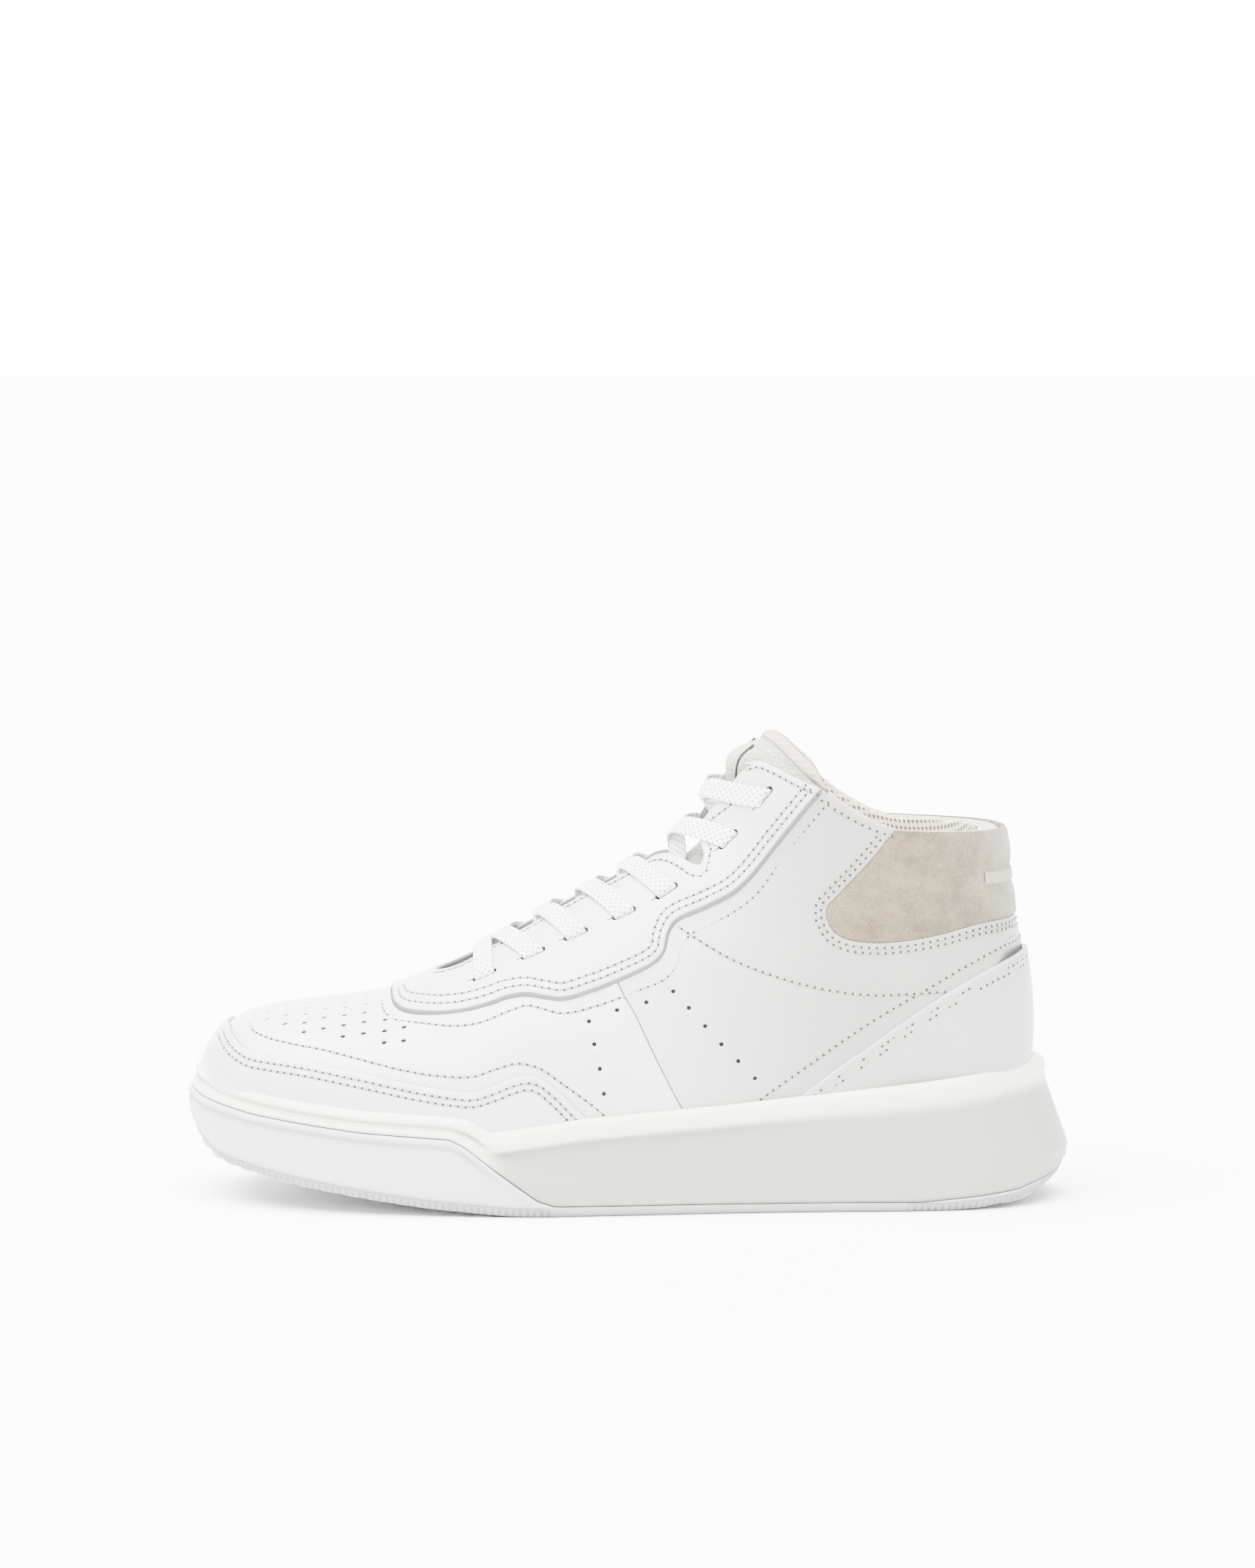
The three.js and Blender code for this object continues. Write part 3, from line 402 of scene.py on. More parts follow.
# One stitch: a short thread that dives at both ends, along X with Z out of the leather, in millimetres.
def stitchShape(length, radius):
    points, faces = [], []
    for x, size, sink in ((-0.5, 0.55, -1.0), (-0.3, 1.0, -0.1), (0.3, 1.0, -0.1), (0.5, 0.55, -1.0)):
        for k in range(6):
            turn = 2 * pi * k / 6
            points.append((x * length, size * radius * math.cos(turn),
                           size * radius * 0.8 * math.sin(turn) + sink * radius))
    for i in range(3):
        for k in range(6):
            a, b = i * 6 + k, i * 6 + (k + 1) % 6
            faces.append((a, a + 6, b + 6, b))
    faces += [tuple(range(6)), tuple(range(23, 17, -1))]
    return np.array(points), faces


def scatter(name, shape, spots, material, smooth=True):
    points, faces = shape
    allPoints, allFaces = [], []
    for point, along, normal, scale in spots:
        across = np.cross(normal, along)
        across /= np.linalg.norm(across)
        up = np.cross(along, across)
        start = len(allPoints) * len(points)
        allPoints.append(point + (points * scale) @ np.stack([along, across, up]) * mm)
        allFaces += [tuple(i + start for i in face) for face in faces]
    return meshObject(name, np.concatenate(allPoints), allFaces, [material], None, smooth)


stitching = dict(pitch=2.6, threadRadius=0.4, sink=0.1, holeRadius=0.46, holeRise=0.12)


def stitches(name, lines, surface, material):
    pitch = stitching["pitch"]
    shape = stitchShape(pitch * 0.8, stitching["threadRadius"])
    spots, holes = [], []
    for line in lines:
        level = surface(line, np.full(len(line), 9.0)) - stitching["sink"]
        _, point, along, normal = alongPlaces(line, level, pitch)
        for p, a, n in zip(point, along, normal):
            spots.append((p, a, n, 1 + 0.06 * rng.standard_normal()))
            # A dark disc at each stitch end: painted shade in the needle hole.
            holes.append((p + (a * pitch / 2 + n * stitching["holeRise"]) * mm, a, n, 1.0))
    threads = scatter(name, shape, spots, material)
    return threads, scatter(name + "_hole_shade", button(stitching["holeRadius"], 0.5), holes, paintedShadeDark)


# A low round button, along X and Y with Z out.
def button(radius, height):
    ring = [(radius * math.cos(k * pi / 3), radius * math.sin(k * pi / 3), 0.0) for k in range(6)]
    points = [(x, y, -height) for x, y, _ in ring] + ring
    faces = [tuple(range(5, -1, -1)), tuple(range(6, 12))]
    faces += [(k, (k + 1) % 6, (k + 1) % 6 + 6, k + 6) for k in range(6)]
    return np.array(points), faces


# A closed skin over rings of points with equal counts, its ends closed by a flat face each.
def ringMesh(name, rings, materials, closedEnds=True, loop=False, indices=None):
    rings = np.asarray(rings)
    n, count = rings.shape[:2]
    points = rings.reshape(-1, 3)
    faces = []
    for i in range(n if loop else n - 1):
        for j in range(count):
            a, b = i * count + j, i * count + (j + 1) % count
            c, d = ((i + 1) % n) * count + (j + 1) % count, ((i + 1) % n) * count + j
            faces.append((a, b, c, d))
    if closedEnds and not loop:
        faces += [tuple(range(count - 1, -1, -1)), tuple(range((n - 1) * count, n * count))]
    obj = meshObject(name, points, faces, materials, indices)
    layer = obj.data.uv_layers.new(name="flat")
    along = np.concatenate([[0], np.cumsum(np.linalg.norm(np.diff(rings.mean(1), axis=0), axis=1))])
    around = np.concatenate([[0], np.cumsum(np.linalg.norm(np.diff(rings[n // 2], axis=0), axis=1))])
    uv = np.stack(np.broadcast_arrays(along[:, None], around[None, :]), -1).reshape(-1, 2)
    corners = np.empty(len(obj.data.loops), dtype=np.int32)
    obj.data.loops.foreach_get("vertex_index", corners)
    layer.data.foreach_set("uv", uv[corners].ravel())
    return obj


# A round roll along places, its offset and radius given at each.
def roll(name, places, offsets, radii, material, sides=16, flatness=1.0):
    centres = lift(places, offsets)
    rings = []
    for i, centre in enumerate(centres):
        along = centres[min(i + 1, len(centres) - 1)] - centres[max(i - 1, 0)]
        along /= np.linalg.norm(along)
        across = lastNormal(*places[i])
        across = across - along * np.dot(across, along)
        across /= np.linalg.norm(across)
        up = np.cross(along, across)
        turn = np.arange(sides) * 2 * pi / sides
        ring = centre + (np.cos(turn)[:, None] * across + np.sin(turn)[:, None] * up * flatness) * radii[i] * mm
        rings.append(ring)
    obj = ringMesh(name, rings, [material])
    faceOut(obj)
    return obj


def faceOut(obj):
    work = bmesh.new()
    work.from_mesh(obj.data)
    bmesh.ops.recalc_face_normals(work, faces=work.faces)
    work.to_mesh(obj.data)
    work.free()


def colour(hexCode):
    parts = [int(hexCode[i:i + 2], 16) / 255 for i in (1, 3, 5)]
    return tuple(v / 12.92 if v <= 0.04045 else ((v + 0.055) / 1.055) ** 2.4 for v in parts) + (1.0,)


def newMaterial(name, hexCode, roughness, **more):
    material = bpy.data.materials.new(name)
    material.use_nodes = True
    shader = material.node_tree.nodes["Principled BSDF"]
    shader.inputs["Base Color"].default_value = colour(hexCode)
    shader.inputs["Roughness"].default_value = roughness
    for key, value in more.items():
        shader.inputs[key.replace("_", " ")].default_value = value
    return material, material.node_tree, shader


# Adds a node: settings by attribute, inputs by name, where a tuple (node, output) is a link.
def addNode(tree, kind, settings=None, **inputs):
    node = tree.nodes.new(kind)
    for key, value in (settings or {}).items():
        setattr(node, key, value)
    for key, value in inputs.items():
        numbered = key[0] == "i" and key[1:].isdigit()
        socket = node.inputs[int(key[1:]) if numbered else key.replace("_", " ")]
        if isinstance(value, tuple) and len(value) == 2 and hasattr(value[0], "outputs"):
            tree.links.new(value[0].outputs[value[1]], socket)
        else:
            socket.default_value = value
    return node


def ramp(tree, source, stops):
    node = addNode(tree, "ShaderNodeValToRGB", Fac=source)
    elements = node.color_ramp.elements
    while len(elements) < len(stops):
        elements.new(0.5)
    for element, (place, value) in zip(elements, stops):
        element.position = place
        element.color = value if isinstance(value, tuple) else colour(value)
    return node


def bump(tree, shader, height, distance, strength=1.0, normal=None):
    inputs = dict(Height=height, Distance=distance, Strength=strength)
    if normal is not None:
        inputs["Normal"] = normal
    node = addNode(tree, "ShaderNodeBump", None, **inputs)
    tree.links.new(node.outputs["Normal"], shader.inputs["Normal"])
    return (node, "Normal")


def leather(name, hexCode, darker, grain=0.00008, creases=0.0002, roughness=0.42):
    material, tree, shader = newMaterial(name, hexCode, roughness, IOR=1.5)
    place = (addNode(tree, "ShaderNodeTexCoord"), "Object")
    # Fine pores about 0.6 mm apart, soft wrinkles about 6 mm, and slow changes of tone.
    pores = addNode(tree, "ShaderNodeTexVoronoi", dict(feature="SMOOTH_F1"), Vector=place, Scale=1500.0)
    wrinkles = addNode(tree, "ShaderNodeTexNoise", None, Vector=place, Scale=160.0, Detail=4.0, Roughness=0.55)
    cloud = addNode(tree, "ShaderNodeTexNoise", None, Vector=place, Scale=28.0, Detail=2.0)
    tone = ramp(tree, (cloud, "Fac"), [(0.35, darker), (0.65, hexCode)])
    tree.links.new(tone.outputs["Color"], shader.inputs["Base Color"])
    soft = bump(tree, shader, (wrinkles, "Fac"), creases)
    bump(tree, shader, (pores, "Distance"), grain, 1.0, soft)
    return material


# White full grain leather, and darker, warmer copies of it on the quarters and heel foxing that are painted shade, and
# its grey raw edge.
whiteLeather = leather("white leather", "#c2c1be", "#bdbcb9")
shadedQuarterLeather = leather("quarter leather with painted shade", "#979592", "#918f8c")
# Heel foxing leather, darkened like the quarters: painted shade.
shadedFoxingLeather = leather("foxing leather with painted shade", "#9a9895", "#94928f", creases=0.00012)
overlayLeatherLook = leather("overlay leather", "#bdbcba", "#b8b7b5", creases=0.00012)
rawEdge, _, _ = newMaterial("raw leather edge", "#66696d", 0.8)
paleEdge, _, _ = newMaterial("pale raw leather edge", "#a3a5a7", 0.8)
# The thread is darker than its own white-ish colour: painted shade of the stitch groove.
shadedStitchThread, _, _ = newMaterial("polyester stitching thread with painted shade", "#8f8c86", 0.6)
# Near black for painted shade in needle holes, punched holes, slits and the tongue seam groove.
paintedShadeDark, _, _ = newMaterial("painted shade in holes, slits and seams", "#2e2b28", 0.9)
board, _, _ = newMaterial("stiffener board", "#cbb994", 0.9)


# Cut lines of the panels, in side view (x, z) unless said.
cupLine = [(-160, 46.5), (-148, 45), (-134, 41.3), (-116, 38), (-91, 35.3), (-60, 33.8), (-53, 32.8),
           (-46.5, 28.3), (-41, 29), (-16, 32.5), (34, 36.5), (84, 41.7), (134, 47), (160, 49)]
guardEdge = [(-137.6, 59.0), (-136.8, 58.7), (-135.6, 57.4), (-133.2, 55.2), (-128, 52.6), (-120, 51.6), (-107.6, 50.3),
             (-89, 47.2), (-70.4, 43.8), (-58, 42.1), (-52, 41.8), (-45.8, 43.6), (-39.7, 46), (-33.7, 47.3),
             (-28.8, 46.2), (-23.9, 42.7), (-15.3, 34.1), (-10.4, 28.6)]
seam = [(-9.2, 104.5), (-3, 78), (3, 67), (10.5, 51.5), (20, 33.5), (22.5, 30.5)]
eyestayEdge = [(-80.6, 71.7), (-80, 70.6), (-79, 68.8), (-76, 67.2), (-65, 66.8), (-55, 68.1), (-46, 70.7), (-40, 72.9),
               (-34, 73.9), (-28, 73.3), (-21.6, 72.8), (-12, 75.5), (-3, 78.9), (9.2, 84.7), (12, 87.7),
               (13.6, 93.6), (16.1, 97.7), (27.8, 103.4), (36.3, 107.9),
               (42.8, 114), (52.6, 126.5), (63.4, 140.1), (65.9, 142.8)]
topEdge = [(40.3, 149.8), (45.3, 151.3), (50, 150), (58.8, 145.8), (65.9, 142.8), (70.8, 138.6), (77, 135),
           (82.8, 132.1), (90.8, 129.2)]
collarEdge = [(90.8, 129.2), (101.5, 128.7), (119, 128.3), (131, 128.1)]
windowEdge = [(90.8, 129.2), (82.8, 119), (70.6, 105.9), (68, 103), (67.7, 99.5), (70, 95), (74.4, 92.3),
              (83.3, 91), (95, 91.7), (107.7, 94), (120, 97), (134, 98.2)]
foxingEdge = [(52.4, 33.9), (70.6, 47.8), (83.1, 56.3), (95.6, 65.1), (107.7, 72.7), (120.3, 79.6), (133.6, 85),
              (137, 86)]
# Plan view (x, y): the throat, and the notch in it on each side.
throatPlan = [(-65.5, 0), (-64.6, 4.2), (-62.5, 8), (-58.5, 11), (-54, 12), (-40, 10.5), (-18, 9), (2, 8.5), (9.5, 8.2),
              (12.5, 9.8), (18.5, 15.5), (23, 19.6), (25.6, 20.4), (26.6, 18.6), (25.8, 13.5), (26.6, 10.4), (30, 10.6),
              (40, 14), (43.3, 15.8)]
eyelets = [(47.1, 139.2), (35.2, 124.5), (14, 106.9), (-0.6, 99.3), (-17, 92.2), (-31.5, 85.6), (-48.1, 78.2)]


def heightAt(line, x):
    return np.interp(x, [p[0] for p in line], [p[1] for p in line])


def cupRun(start, end, depth, step=1.6):
    x = np.linspace(start, end, max(2, int(abs(end - start) / step)))
    return np.stack([x, heightAt(cupLine, x) - depth], -1)


# Places along the side view line: lateral as drawn, then medial the other way round.
def wrap(line, step=1.0, corners=()):
    smooth = smoothLine(line, step, corners)
    return onSide(smooth, -1), onSide(smooth[::-1], 1)


def backRun(lowZ, highZ, side, count=24):
    u = np.interp(np.linspace(lowZ, highZ, count), rows[14:, 3], np.arange(13, len(rows) - 1))
    return np.stack([u, np.full(count, side * pi)], -1)


def throatRun(side, widen=0.0):
    line = smoothLine(throatPlan, 0.9, (8, 13, 15))
    along = np.gradient(line, axis=0)
    along /= np.linalg.norm(along, axis=1, keepdims=True)
    out = np.stack([-along[:, 1], along[:, 0]], -1)
    line = line + out * widen
    line[0, 1] = 0
    return onTop(line * [1, side])


# Points drawn at a place: along a given 3-D direction and across it, in millimetres.
def drawnAt(place, along, shape):
    u, angle = place
    byU = (lastPoint(u + 0.02, angle) - lastPoint(u - 0.02, angle)) / 0.04
    byA = (lastPoint(u, angle + 0.01) - lastPoint(u, angle - 0.01)) / 0.02
    normal = lastNormal(u, angle)
    along = along - normal * np.dot(along, normal)
    along /= np.linalg.norm(along)
    across = np.cross(normal, along)
    moves = np.asarray(shape)[:, :1] * along + np.asarray(shape)[:, 1:] * across
    steps, *_ = np.linalg.lstsq(np.stack([byU, byA], -1), moves.T, rcond=None)
    return np.array([u, angle]) + steps.T


def eyelet(k, side):
    place = onSide([eyelets[k]], side)[0]
    ends = onSide([eyelets[max(k - 1, 0)], eyelets[min(k + 1, 6)]], side)
    points = lastPoint(ends[:, 0], ends[:, 1])
    row = points[1] - points[0]
    normal = lastNormal(*place)
    row -= normal * np.dot(row, normal)
    return place, row / np.linalg.norm(row)


def stadium(length, width, count=10):
    turn = np.linspace(-pi / 2, pi / 2, count)
    right = np.stack([np.cos(turn) * width / 2 + (length - width) / 2, np.sin(turn) * width / 2], -1)
    return np.vstack([right, -right])


def circle(radius, count=10):
    turn = np.arange(count) * 2 * pi / count
    return np.stack([np.cos(turn), np.sin(turn)], -1) * radius


slotHoles = [drawnAt(*eyelet(k, side), stadium(9.0, 2.6)) for side in (-1, 1) for k in range(7)]
xAxis = np.array([1.0, 0, 0])
vampHoles = [(-123.7, (9.5, 16)), (-117, (3, 10, 16.5, 22.8)), (-110.2, (6, 12.5, 18.5, 24.6, 29.5)),
             (-103.5, (3, 9.8, 16.5, 23.5, 29.8)), (-96.6, (6, 12, 18, 24.2, 30, 35)),
             (-89.6, (3, 10, 17.5, 24.6, 30, 35.2)), (-82.4, (31, 36, 40)), (-75.8, (36.5, 41))]
vampPunches = [drawnAt(onTop([(x, side * y + 2.0)])[0], xAxis, circle(0.72) * [1.25, 1])
               for x, across in vampHoles for y in across for side in (-1, 1)]
sideHoles = [(-12.8, 65.3), (-11, 57.8), (-9.1, 49.6), (-7.7, 41.2), (-3.3, 68.9), (6.6, 71.4), (15.7, 75),
             (21, 69.5), (26.5, 63.4), (32, 57.3), (37.7, 51.6), (43.4, 45.6)]


def sidePunches(side, seamSide):
    seamX = [np.interp(p[1], [s[1] for s in seam[::-1]], [s[0] for s in seam[::-1]]) for p in sideHoles]
    chosen = [p for p, x in zip(sideHoles, seamX) if (p[0] < x) == seamSide]
    return [drawnAt(place, xAxis, circle(0.74)) for place in onSide(chosen, side)]


# Perforations and slots, and the lines that stitches follow, as places.

def inset(line, by):
    line = np.asarray(line, float)
    along = np.gradient(line, axis=0)
    along /= np.maximum(np.linalg.norm(along, axis=1, keepdims=True), 1e-9)
    return line + np.stack([-along[:, 1], along[:, 0]], -1) * by


def bothSides(line, by=0.0, corners=()):
    drawn = inset(smoothLine(line, 1.0, corners), by)
    return [onSide(drawn, -1), onSide(drawn, 1)]


vampLine = [(-129.6, 61.2), (-128.7, 59.6), (-124.5, 57.9), (-114.2, 56.1), (-101.5, 54.4), (-89, 51.8), (-76.6, 49.1),
            (-64.2, 47.4), (-52, 47.2), (-44.6, 49.5), (-37.2, 51.5), (-29.9, 50.1), (-21.5, 44.6), (-9.3, 35.3),
            (-4.4, 30.2)]
underLine = [(-84.2, 69.2), (-83.3, 66.9), (-80.4, 64.9), (-70.8, 63.8), (-58.4, 63.2), (-49.7, 64.5), (-39.9, 68.4),
             (-33.8, 70.2), (-21.5, 68), (-9.2, 70.7), (3.1, 74.9), (12.9, 79), (16.7, 83.1), (18.6, 89.5),
             (21.5, 93.3), (34, 99.7), (43.7, 106.6), (52.4, 118), (63.5, 132.3), (68.3, 138.2)]
crossLine = [(16.6, 96.6), (21.5, 93.5), (33.8, 86.4), (46.1, 81.2), (58.3, 77.4), (70.6, 74.7), (83.3, 73.3),
             (95.1, 73.5), (110.6, 74.4)]
heelLine = [(135.5, 90.4), (126.7, 87.9), (113.9, 81.9), (101.7, 75), (82.9, 64.3), (58.4, 47.6), (41.1, 35.5)]
topLine = [(65.5, 142.3), (70.8, 138.6), (77, 135), (82.8, 132.1), (90.8, 129.2)]


def keep(obj, body, slot, *nodes):
    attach(obj, body)
    if nodes:
        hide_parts(*nodes)
    return obj


# Soft unevenness of pulled leather, in millimetres: broad swells and shallow creases at the flex point.
def swell(places, amount, seed=0.0):
    p = lastPoint(places[:, 0], places[:, 1])
    x, y, z = p.T
    waves = (np.sin(x / 9.5 + 0.6 * np.sin(z / 8 + seed) + seed) + np.sin(z / 6.8 + x / 21 + 1.7 * seed)
             + 0.6 * np.sin((x - z) / 5.3 + np.sin(y / 9 + seed)))
    return amount * waves / 2.6


# Dips under stitch rows, and the rise of the leather between them.
def rowDips(places, lines, depth, width):
    if not lines:
        return np.zeros(len(places))
    points = np.concatenate([lastPoint(line[:, 0], line[:, 1])[::2] for line in lines])
    distance = nearest(lastPoint(places[:, 0], places[:, 1]), points)
    return -depth * np.exp(-(distance / width) ** 2)


def skinTop(level, lines=(), amount=0.0, seed=0.0, rounding=0.35, depth=0.3, width=1.3):
    def offset(places, edge):
        bare = level + swell(places, amount, seed) * smoothstep(edge, 0.5, 6)
        return bare + rowDips(places, lines, depth, width) - rounding * (1 - smoothstep(edge, -0.05, 0.4))
    return offset


def flatTop(level):
    return lambda places, edge: np.full(len(places), level)


guardLines = bothSides(guardEdge, -2.4) + bothSides(guardEdge, -4.6)
throatLines = [throatRun(side, 2.4)[6:] for side in (-1, 1)]
lowerRun = eyestayEdge[1:]
stayRows = [line[:-2] for line in bothSides(lowerRun, 2.0) + bothSides(lowerRun, 4.2)]
stayLines = stayRows + throatLines + bothSides(topEdge[:5], -2.2)
foxingLines = bothSides(foxingEdge, -2.0) + bothSides(foxingEdge, -3.9)
windowLines = [line[3:] for line in bothSides(windowEdge, -1.8, (4,)) + bothSides(windowEdge, -3.6, (4,))]
vampLines = bothSides(vampLine) + bothSides(underLine)
quarterLines = bothSides(crossLine) + bothSides(heelLine) + bothSides(topLine, -2.4)

# Marks each vertex with a share from 0 to 1 of painted shade, by which the mix below blends a lit colour into a shaded
# one.
def markPaintedShade(obj, shares):
    layer = obj.data.attributes.new("tone", "FLOAT", "POINT")
    layer.data.foreach_set("value", np.asarray(shares, dtype=np.float32).ravel())


# The base colour runs from the lit colour to the painted shade colour by each vertex's share.
def mixPaintedShade(material, light, dark):
    tree = material.node_tree
    shader = next(node for node in tree.nodes if node.type == "BSDF_PRINCIPLED")
    tone = addNode(tree, "ShaderNodeAttribute", dict(attribute_name="tone"))
    mixed = ramp(tree, (tone, "Fac"), [(0.0, light), (1.0, dark)])
    tree.links.new(mixed.outputs["Color"], shader.inputs["Base Color"])


print("vamp")
vampPiece = dict(underside=-1.4, swell=0.35, swellSeed=0.4, spacing=2.0)
low = onSide(cupRun(22, -146.3, 4.0), -1)
throatFront = throatRun(-1, 0.6)
cut = throatFront[lastPoint(throatFront[:, 0], throatFront[:, 1])[:, 0] < -9.8]
lateralSeam = onSide(smoothLine(seam, 1.0) - [0.15, 0], -1)
vampOutline = np.vstack([
    cut, lateralSeam, low[:-1], [[0.24, 0.0]],
    onSide(cupRun(22, -146.3, 4.0), 1)[::-1][1:], onSide(smoothLine(seam, 1.0) - [0.15, 0], 1)[::-1],
    throatRun(1, 0.6)[lastPoint(*throatRun(1, 0.6).T)[:, 0] < -9.8][::-1][:-1],
])
punches = vampPunches + sidePunches(-1, True) + sidePunches(1, True)
frontSlots = [hole for hole in slotHoles if lastPoint(*hole[0])[0] < -6]
vampTop = skinTop(0.0, vampLines, vampPiece["swell"], vampPiece["swellSeed"])
vamp = panel("vamp", vampOutline, punches + frontSlots, vampTop, flatTop(vampPiece["underside"]),
             [whiteLeather, rawEdge], spacing=vampPiece["spacing"], base=7.0)
keep(vamp, "shoe", "white_leather", "vamp")

print("rear quarters")
quarterPiece = dict(underside=-1.4, swell=0.4, swellSeed={-1: 0.3, 1: 2.3}, spacing=2.2, shadeFromX=-10, shadeFullX=80)
for side, name in ((-1, "rear_quarter_lateral"), (1, "rear_quarter_medial")):
    throatEdge = throatRun(side, 0.6)
    cut = throatEdge[lastPoint(*throatEdge.T)[:, 0] > -8.9]
    outline = np.vstack([
        onSide(smoothLine(seam, 1.0) + [0.15, 0], side)[::-1], cut, onSide(smoothLine(topEdge, 1.0), side),
        onSide(inset(smoothLine(windowEdge, 1.0, (4,)), -0.15), side),
        backRun(98.0, 45.5, side)[:, :] - [0, side * 0.004], onSide(cupRun(138, 23.5, 4.0), side),
    ])
    backSlots = [hole for hole in slotHoles if lastPoint(*hole[0])[0] > -6 and hole[0, 1] * side > 0]
    quarter = panel(name, outline, sidePunches(side, False) + backSlots,
                    skinTop(0.0, quarterLines + windowLines, quarterPiece["swell"], quarterPiece["swellSeed"][side]),
                    flatTop(quarterPiece["underside"]), [shadedQuarterLeather, rawEdge], spacing=quarterPiece["spacing"],
                    base=14.0)
    # Painted shade: the quarter darkens from the front towards the heel.
    corners = np.zeros(len(quarter.data.vertices) * 3)
    quarter.data.vertices.foreach_get("co", corners)
    markPaintedShade(quarter, smoothstep(corners[::3] / mm, quarterPiece["shadeFromX"], quarterPiece["shadeFullX"]))
    keep(quarter, "shoe", "white_leather", name)
# Lit colour and painted shade colour of the quarter leather.
mixPaintedShade(shadedQuarterLeather, "#b6b4b1", "#8b8986")

print("overlays")
guardPiece = dict(top=1.6, underside=0.2, swell=0.12, swellSeed=2.0, spacing=2.0, flare=0.4)
lateralGuard, medialGuard = wrap(guardEdge)
outline = np.vstack([lateralGuard, onSide(cupRun(-11, -146.3, 4.0), -1)[:-1], [[0.24, 0.0]],
                     onSide(cupRun(-11, -146.3, 4.0), 1)[::-1][1:], medialGuard])
guardTop = skinTop(guardPiece["top"], guardLines, guardPiece["swell"], guardPiece["swellSeed"])
guard = panel("mudguard", outline, [], guardTop, flatTop(guardPiece["underside"]), [overlayLeatherLook, paleEdge],
              spacing=guardPiece["spacing"], base=6.0, flare=guardPiece["flare"])
keep(guard, "shoe", "white_leather", "mudguard")

eyestayPiece = dict(top=1.6, underside=0.15, swell=0.1, swellSeed=3.1, spacing=2.0, flare=1.1)
lateralStay, medialStay = wrap(eyestayEdge)
topRun = smoothLine(topEdge[:5], 1.0)
outline = np.vstack([lateralStay, onSide(topRun[::-1], -1)[1:], throatRun(-1)[::-1], throatRun(1)[1:],
                     onSide(topRun, 1)[:-1], medialStay])
stayTop = skinTop(eyestayPiece["top"], stayLines, eyestayPiece["swell"], eyestayPiece["swellSeed"])
eyestay = panel("eyestay", outline, slotHoles, stayTop, flatTop(eyestayPiece["underside"]),
                [overlayLeatherLook, rawEdge], spacing=eyestayPiece["spacing"], base=10.0,
                flare=eyestayPiece["flare"], flareLines=(lateralStay, medialStay))
keep(eyestay, "shoe", "white_leather", "eyestay")


# The surface of the rear quarters, which the heel foxing lies on.
def quarterTop(places, edge):
    away = np.full(len(places), 9.0)
    lateral, medial = (skinTop(0.0, (), quarterPiece["swell"], quarterPiece["swellSeed"][side])(places, away)
                       for side in (-1, 1))
    return np.where(places[:, 1] < 0, lateral, medial)


foxingPiece = dict(top=1.5, underside=-0.25, spacing=2.2, flare=0.4)


def foxingTop(places, edge):
    return quarterTop(places, edge) + skinTop(foxingPiece["top"], foxingLines)(places, edge)


lateralFox, medialFox = wrap(foxingEdge)
outline = np.vstack([lateralFox, medialFox[1:], onSide(cupRun(54, 138.4, 4.0), 1),
                     onSide(cupRun(54, 138.4, 4.0), -1)[::-1]])
foxing = panel("heel_foxing", outline, [], foxingTop,
               lambda places, edge: quarterTop(places, edge) + foxingPiece["underside"],
               [shadedFoxingLeather, paleEdge], spacing=foxingPiece["spacing"], base=15.0, back=True,
               flare=foxingPiece["flare"])
keep(foxing, "shoe", "white_leather", "heel_foxing")

print("stitches")
quarterRows = quarterLines + windowLines
for name, lines, surface in (
        ("mudguard_stitches", guardLines, skinTop(guardPiece["top"], (), guardPiece["swell"],
                                                  guardPiece["swellSeed"])),
        ("eyestay_stitches", stayLines, skinTop(eyestayPiece["top"], (), eyestayPiece["swell"],
                                                eyestayPiece["swellSeed"])),
        ("foxing_stitches", foxingLines, foxingTop),
        ("vamp_stitches", vampLines, skinTop(0.0, (), vampPiece["swell"], vampPiece["swellSeed"])),
        ("quarter_stitches_lateral", quarterRows[::2], quarterTop),
        ("quarter_stitches_medial", quarterRows[1::2], quarterTop)):
    for obj in stitches(name, lines, surface, shadedStitchThread):
        keep(obj, "shoe", "thread")
holePlaces = [hole.mean(0) for hole in punches + sidePunches(-1, False) + sidePunches(1, False)]
holeShade = dict(depth=1.0, radius=0.95)
shades = [(lift(place, -holeShade["depth"]), xAxis, lastNormal(*place), 1.0) for place in holePlaces]
keep(scatter("punched_hole_shade", button(holeShade["radius"], 0.2), shades, paintedShadeDark), "shoe", "white_leather")

print("collar")


def collarPadding(places):
    x, _, z = lastPoint(places[:, 0], places[:, 1]).T
    return 5.0 * smoothstep(x, 64, 86) * smoothstep(z, 86, 106)


# Places on an edge line at even turns round the opening.
def edgeRun(line, turns, drop):
    low, high = np.full(len(turns), 10.0), np.full(len(turns), topRow - 0.1)
    for _ in range(34):
        mid = (low + high) / 2
        point = lastPoint(mid, turns)
        under = point[:, 2] < heightAt(line, point[:, 0]) - drop
        low, high = np.where(under, mid, low), np.where(under, high, mid)
    return np.stack([low, (turns + pi) % (2 * pi) - pi], -1)


suede, suedeTree, suedeShader = newMaterial("suede split", "#5c4f3d", 0.95)
place = (addNode(suedeTree, "ShaderNodeTexCoord"), "Object")
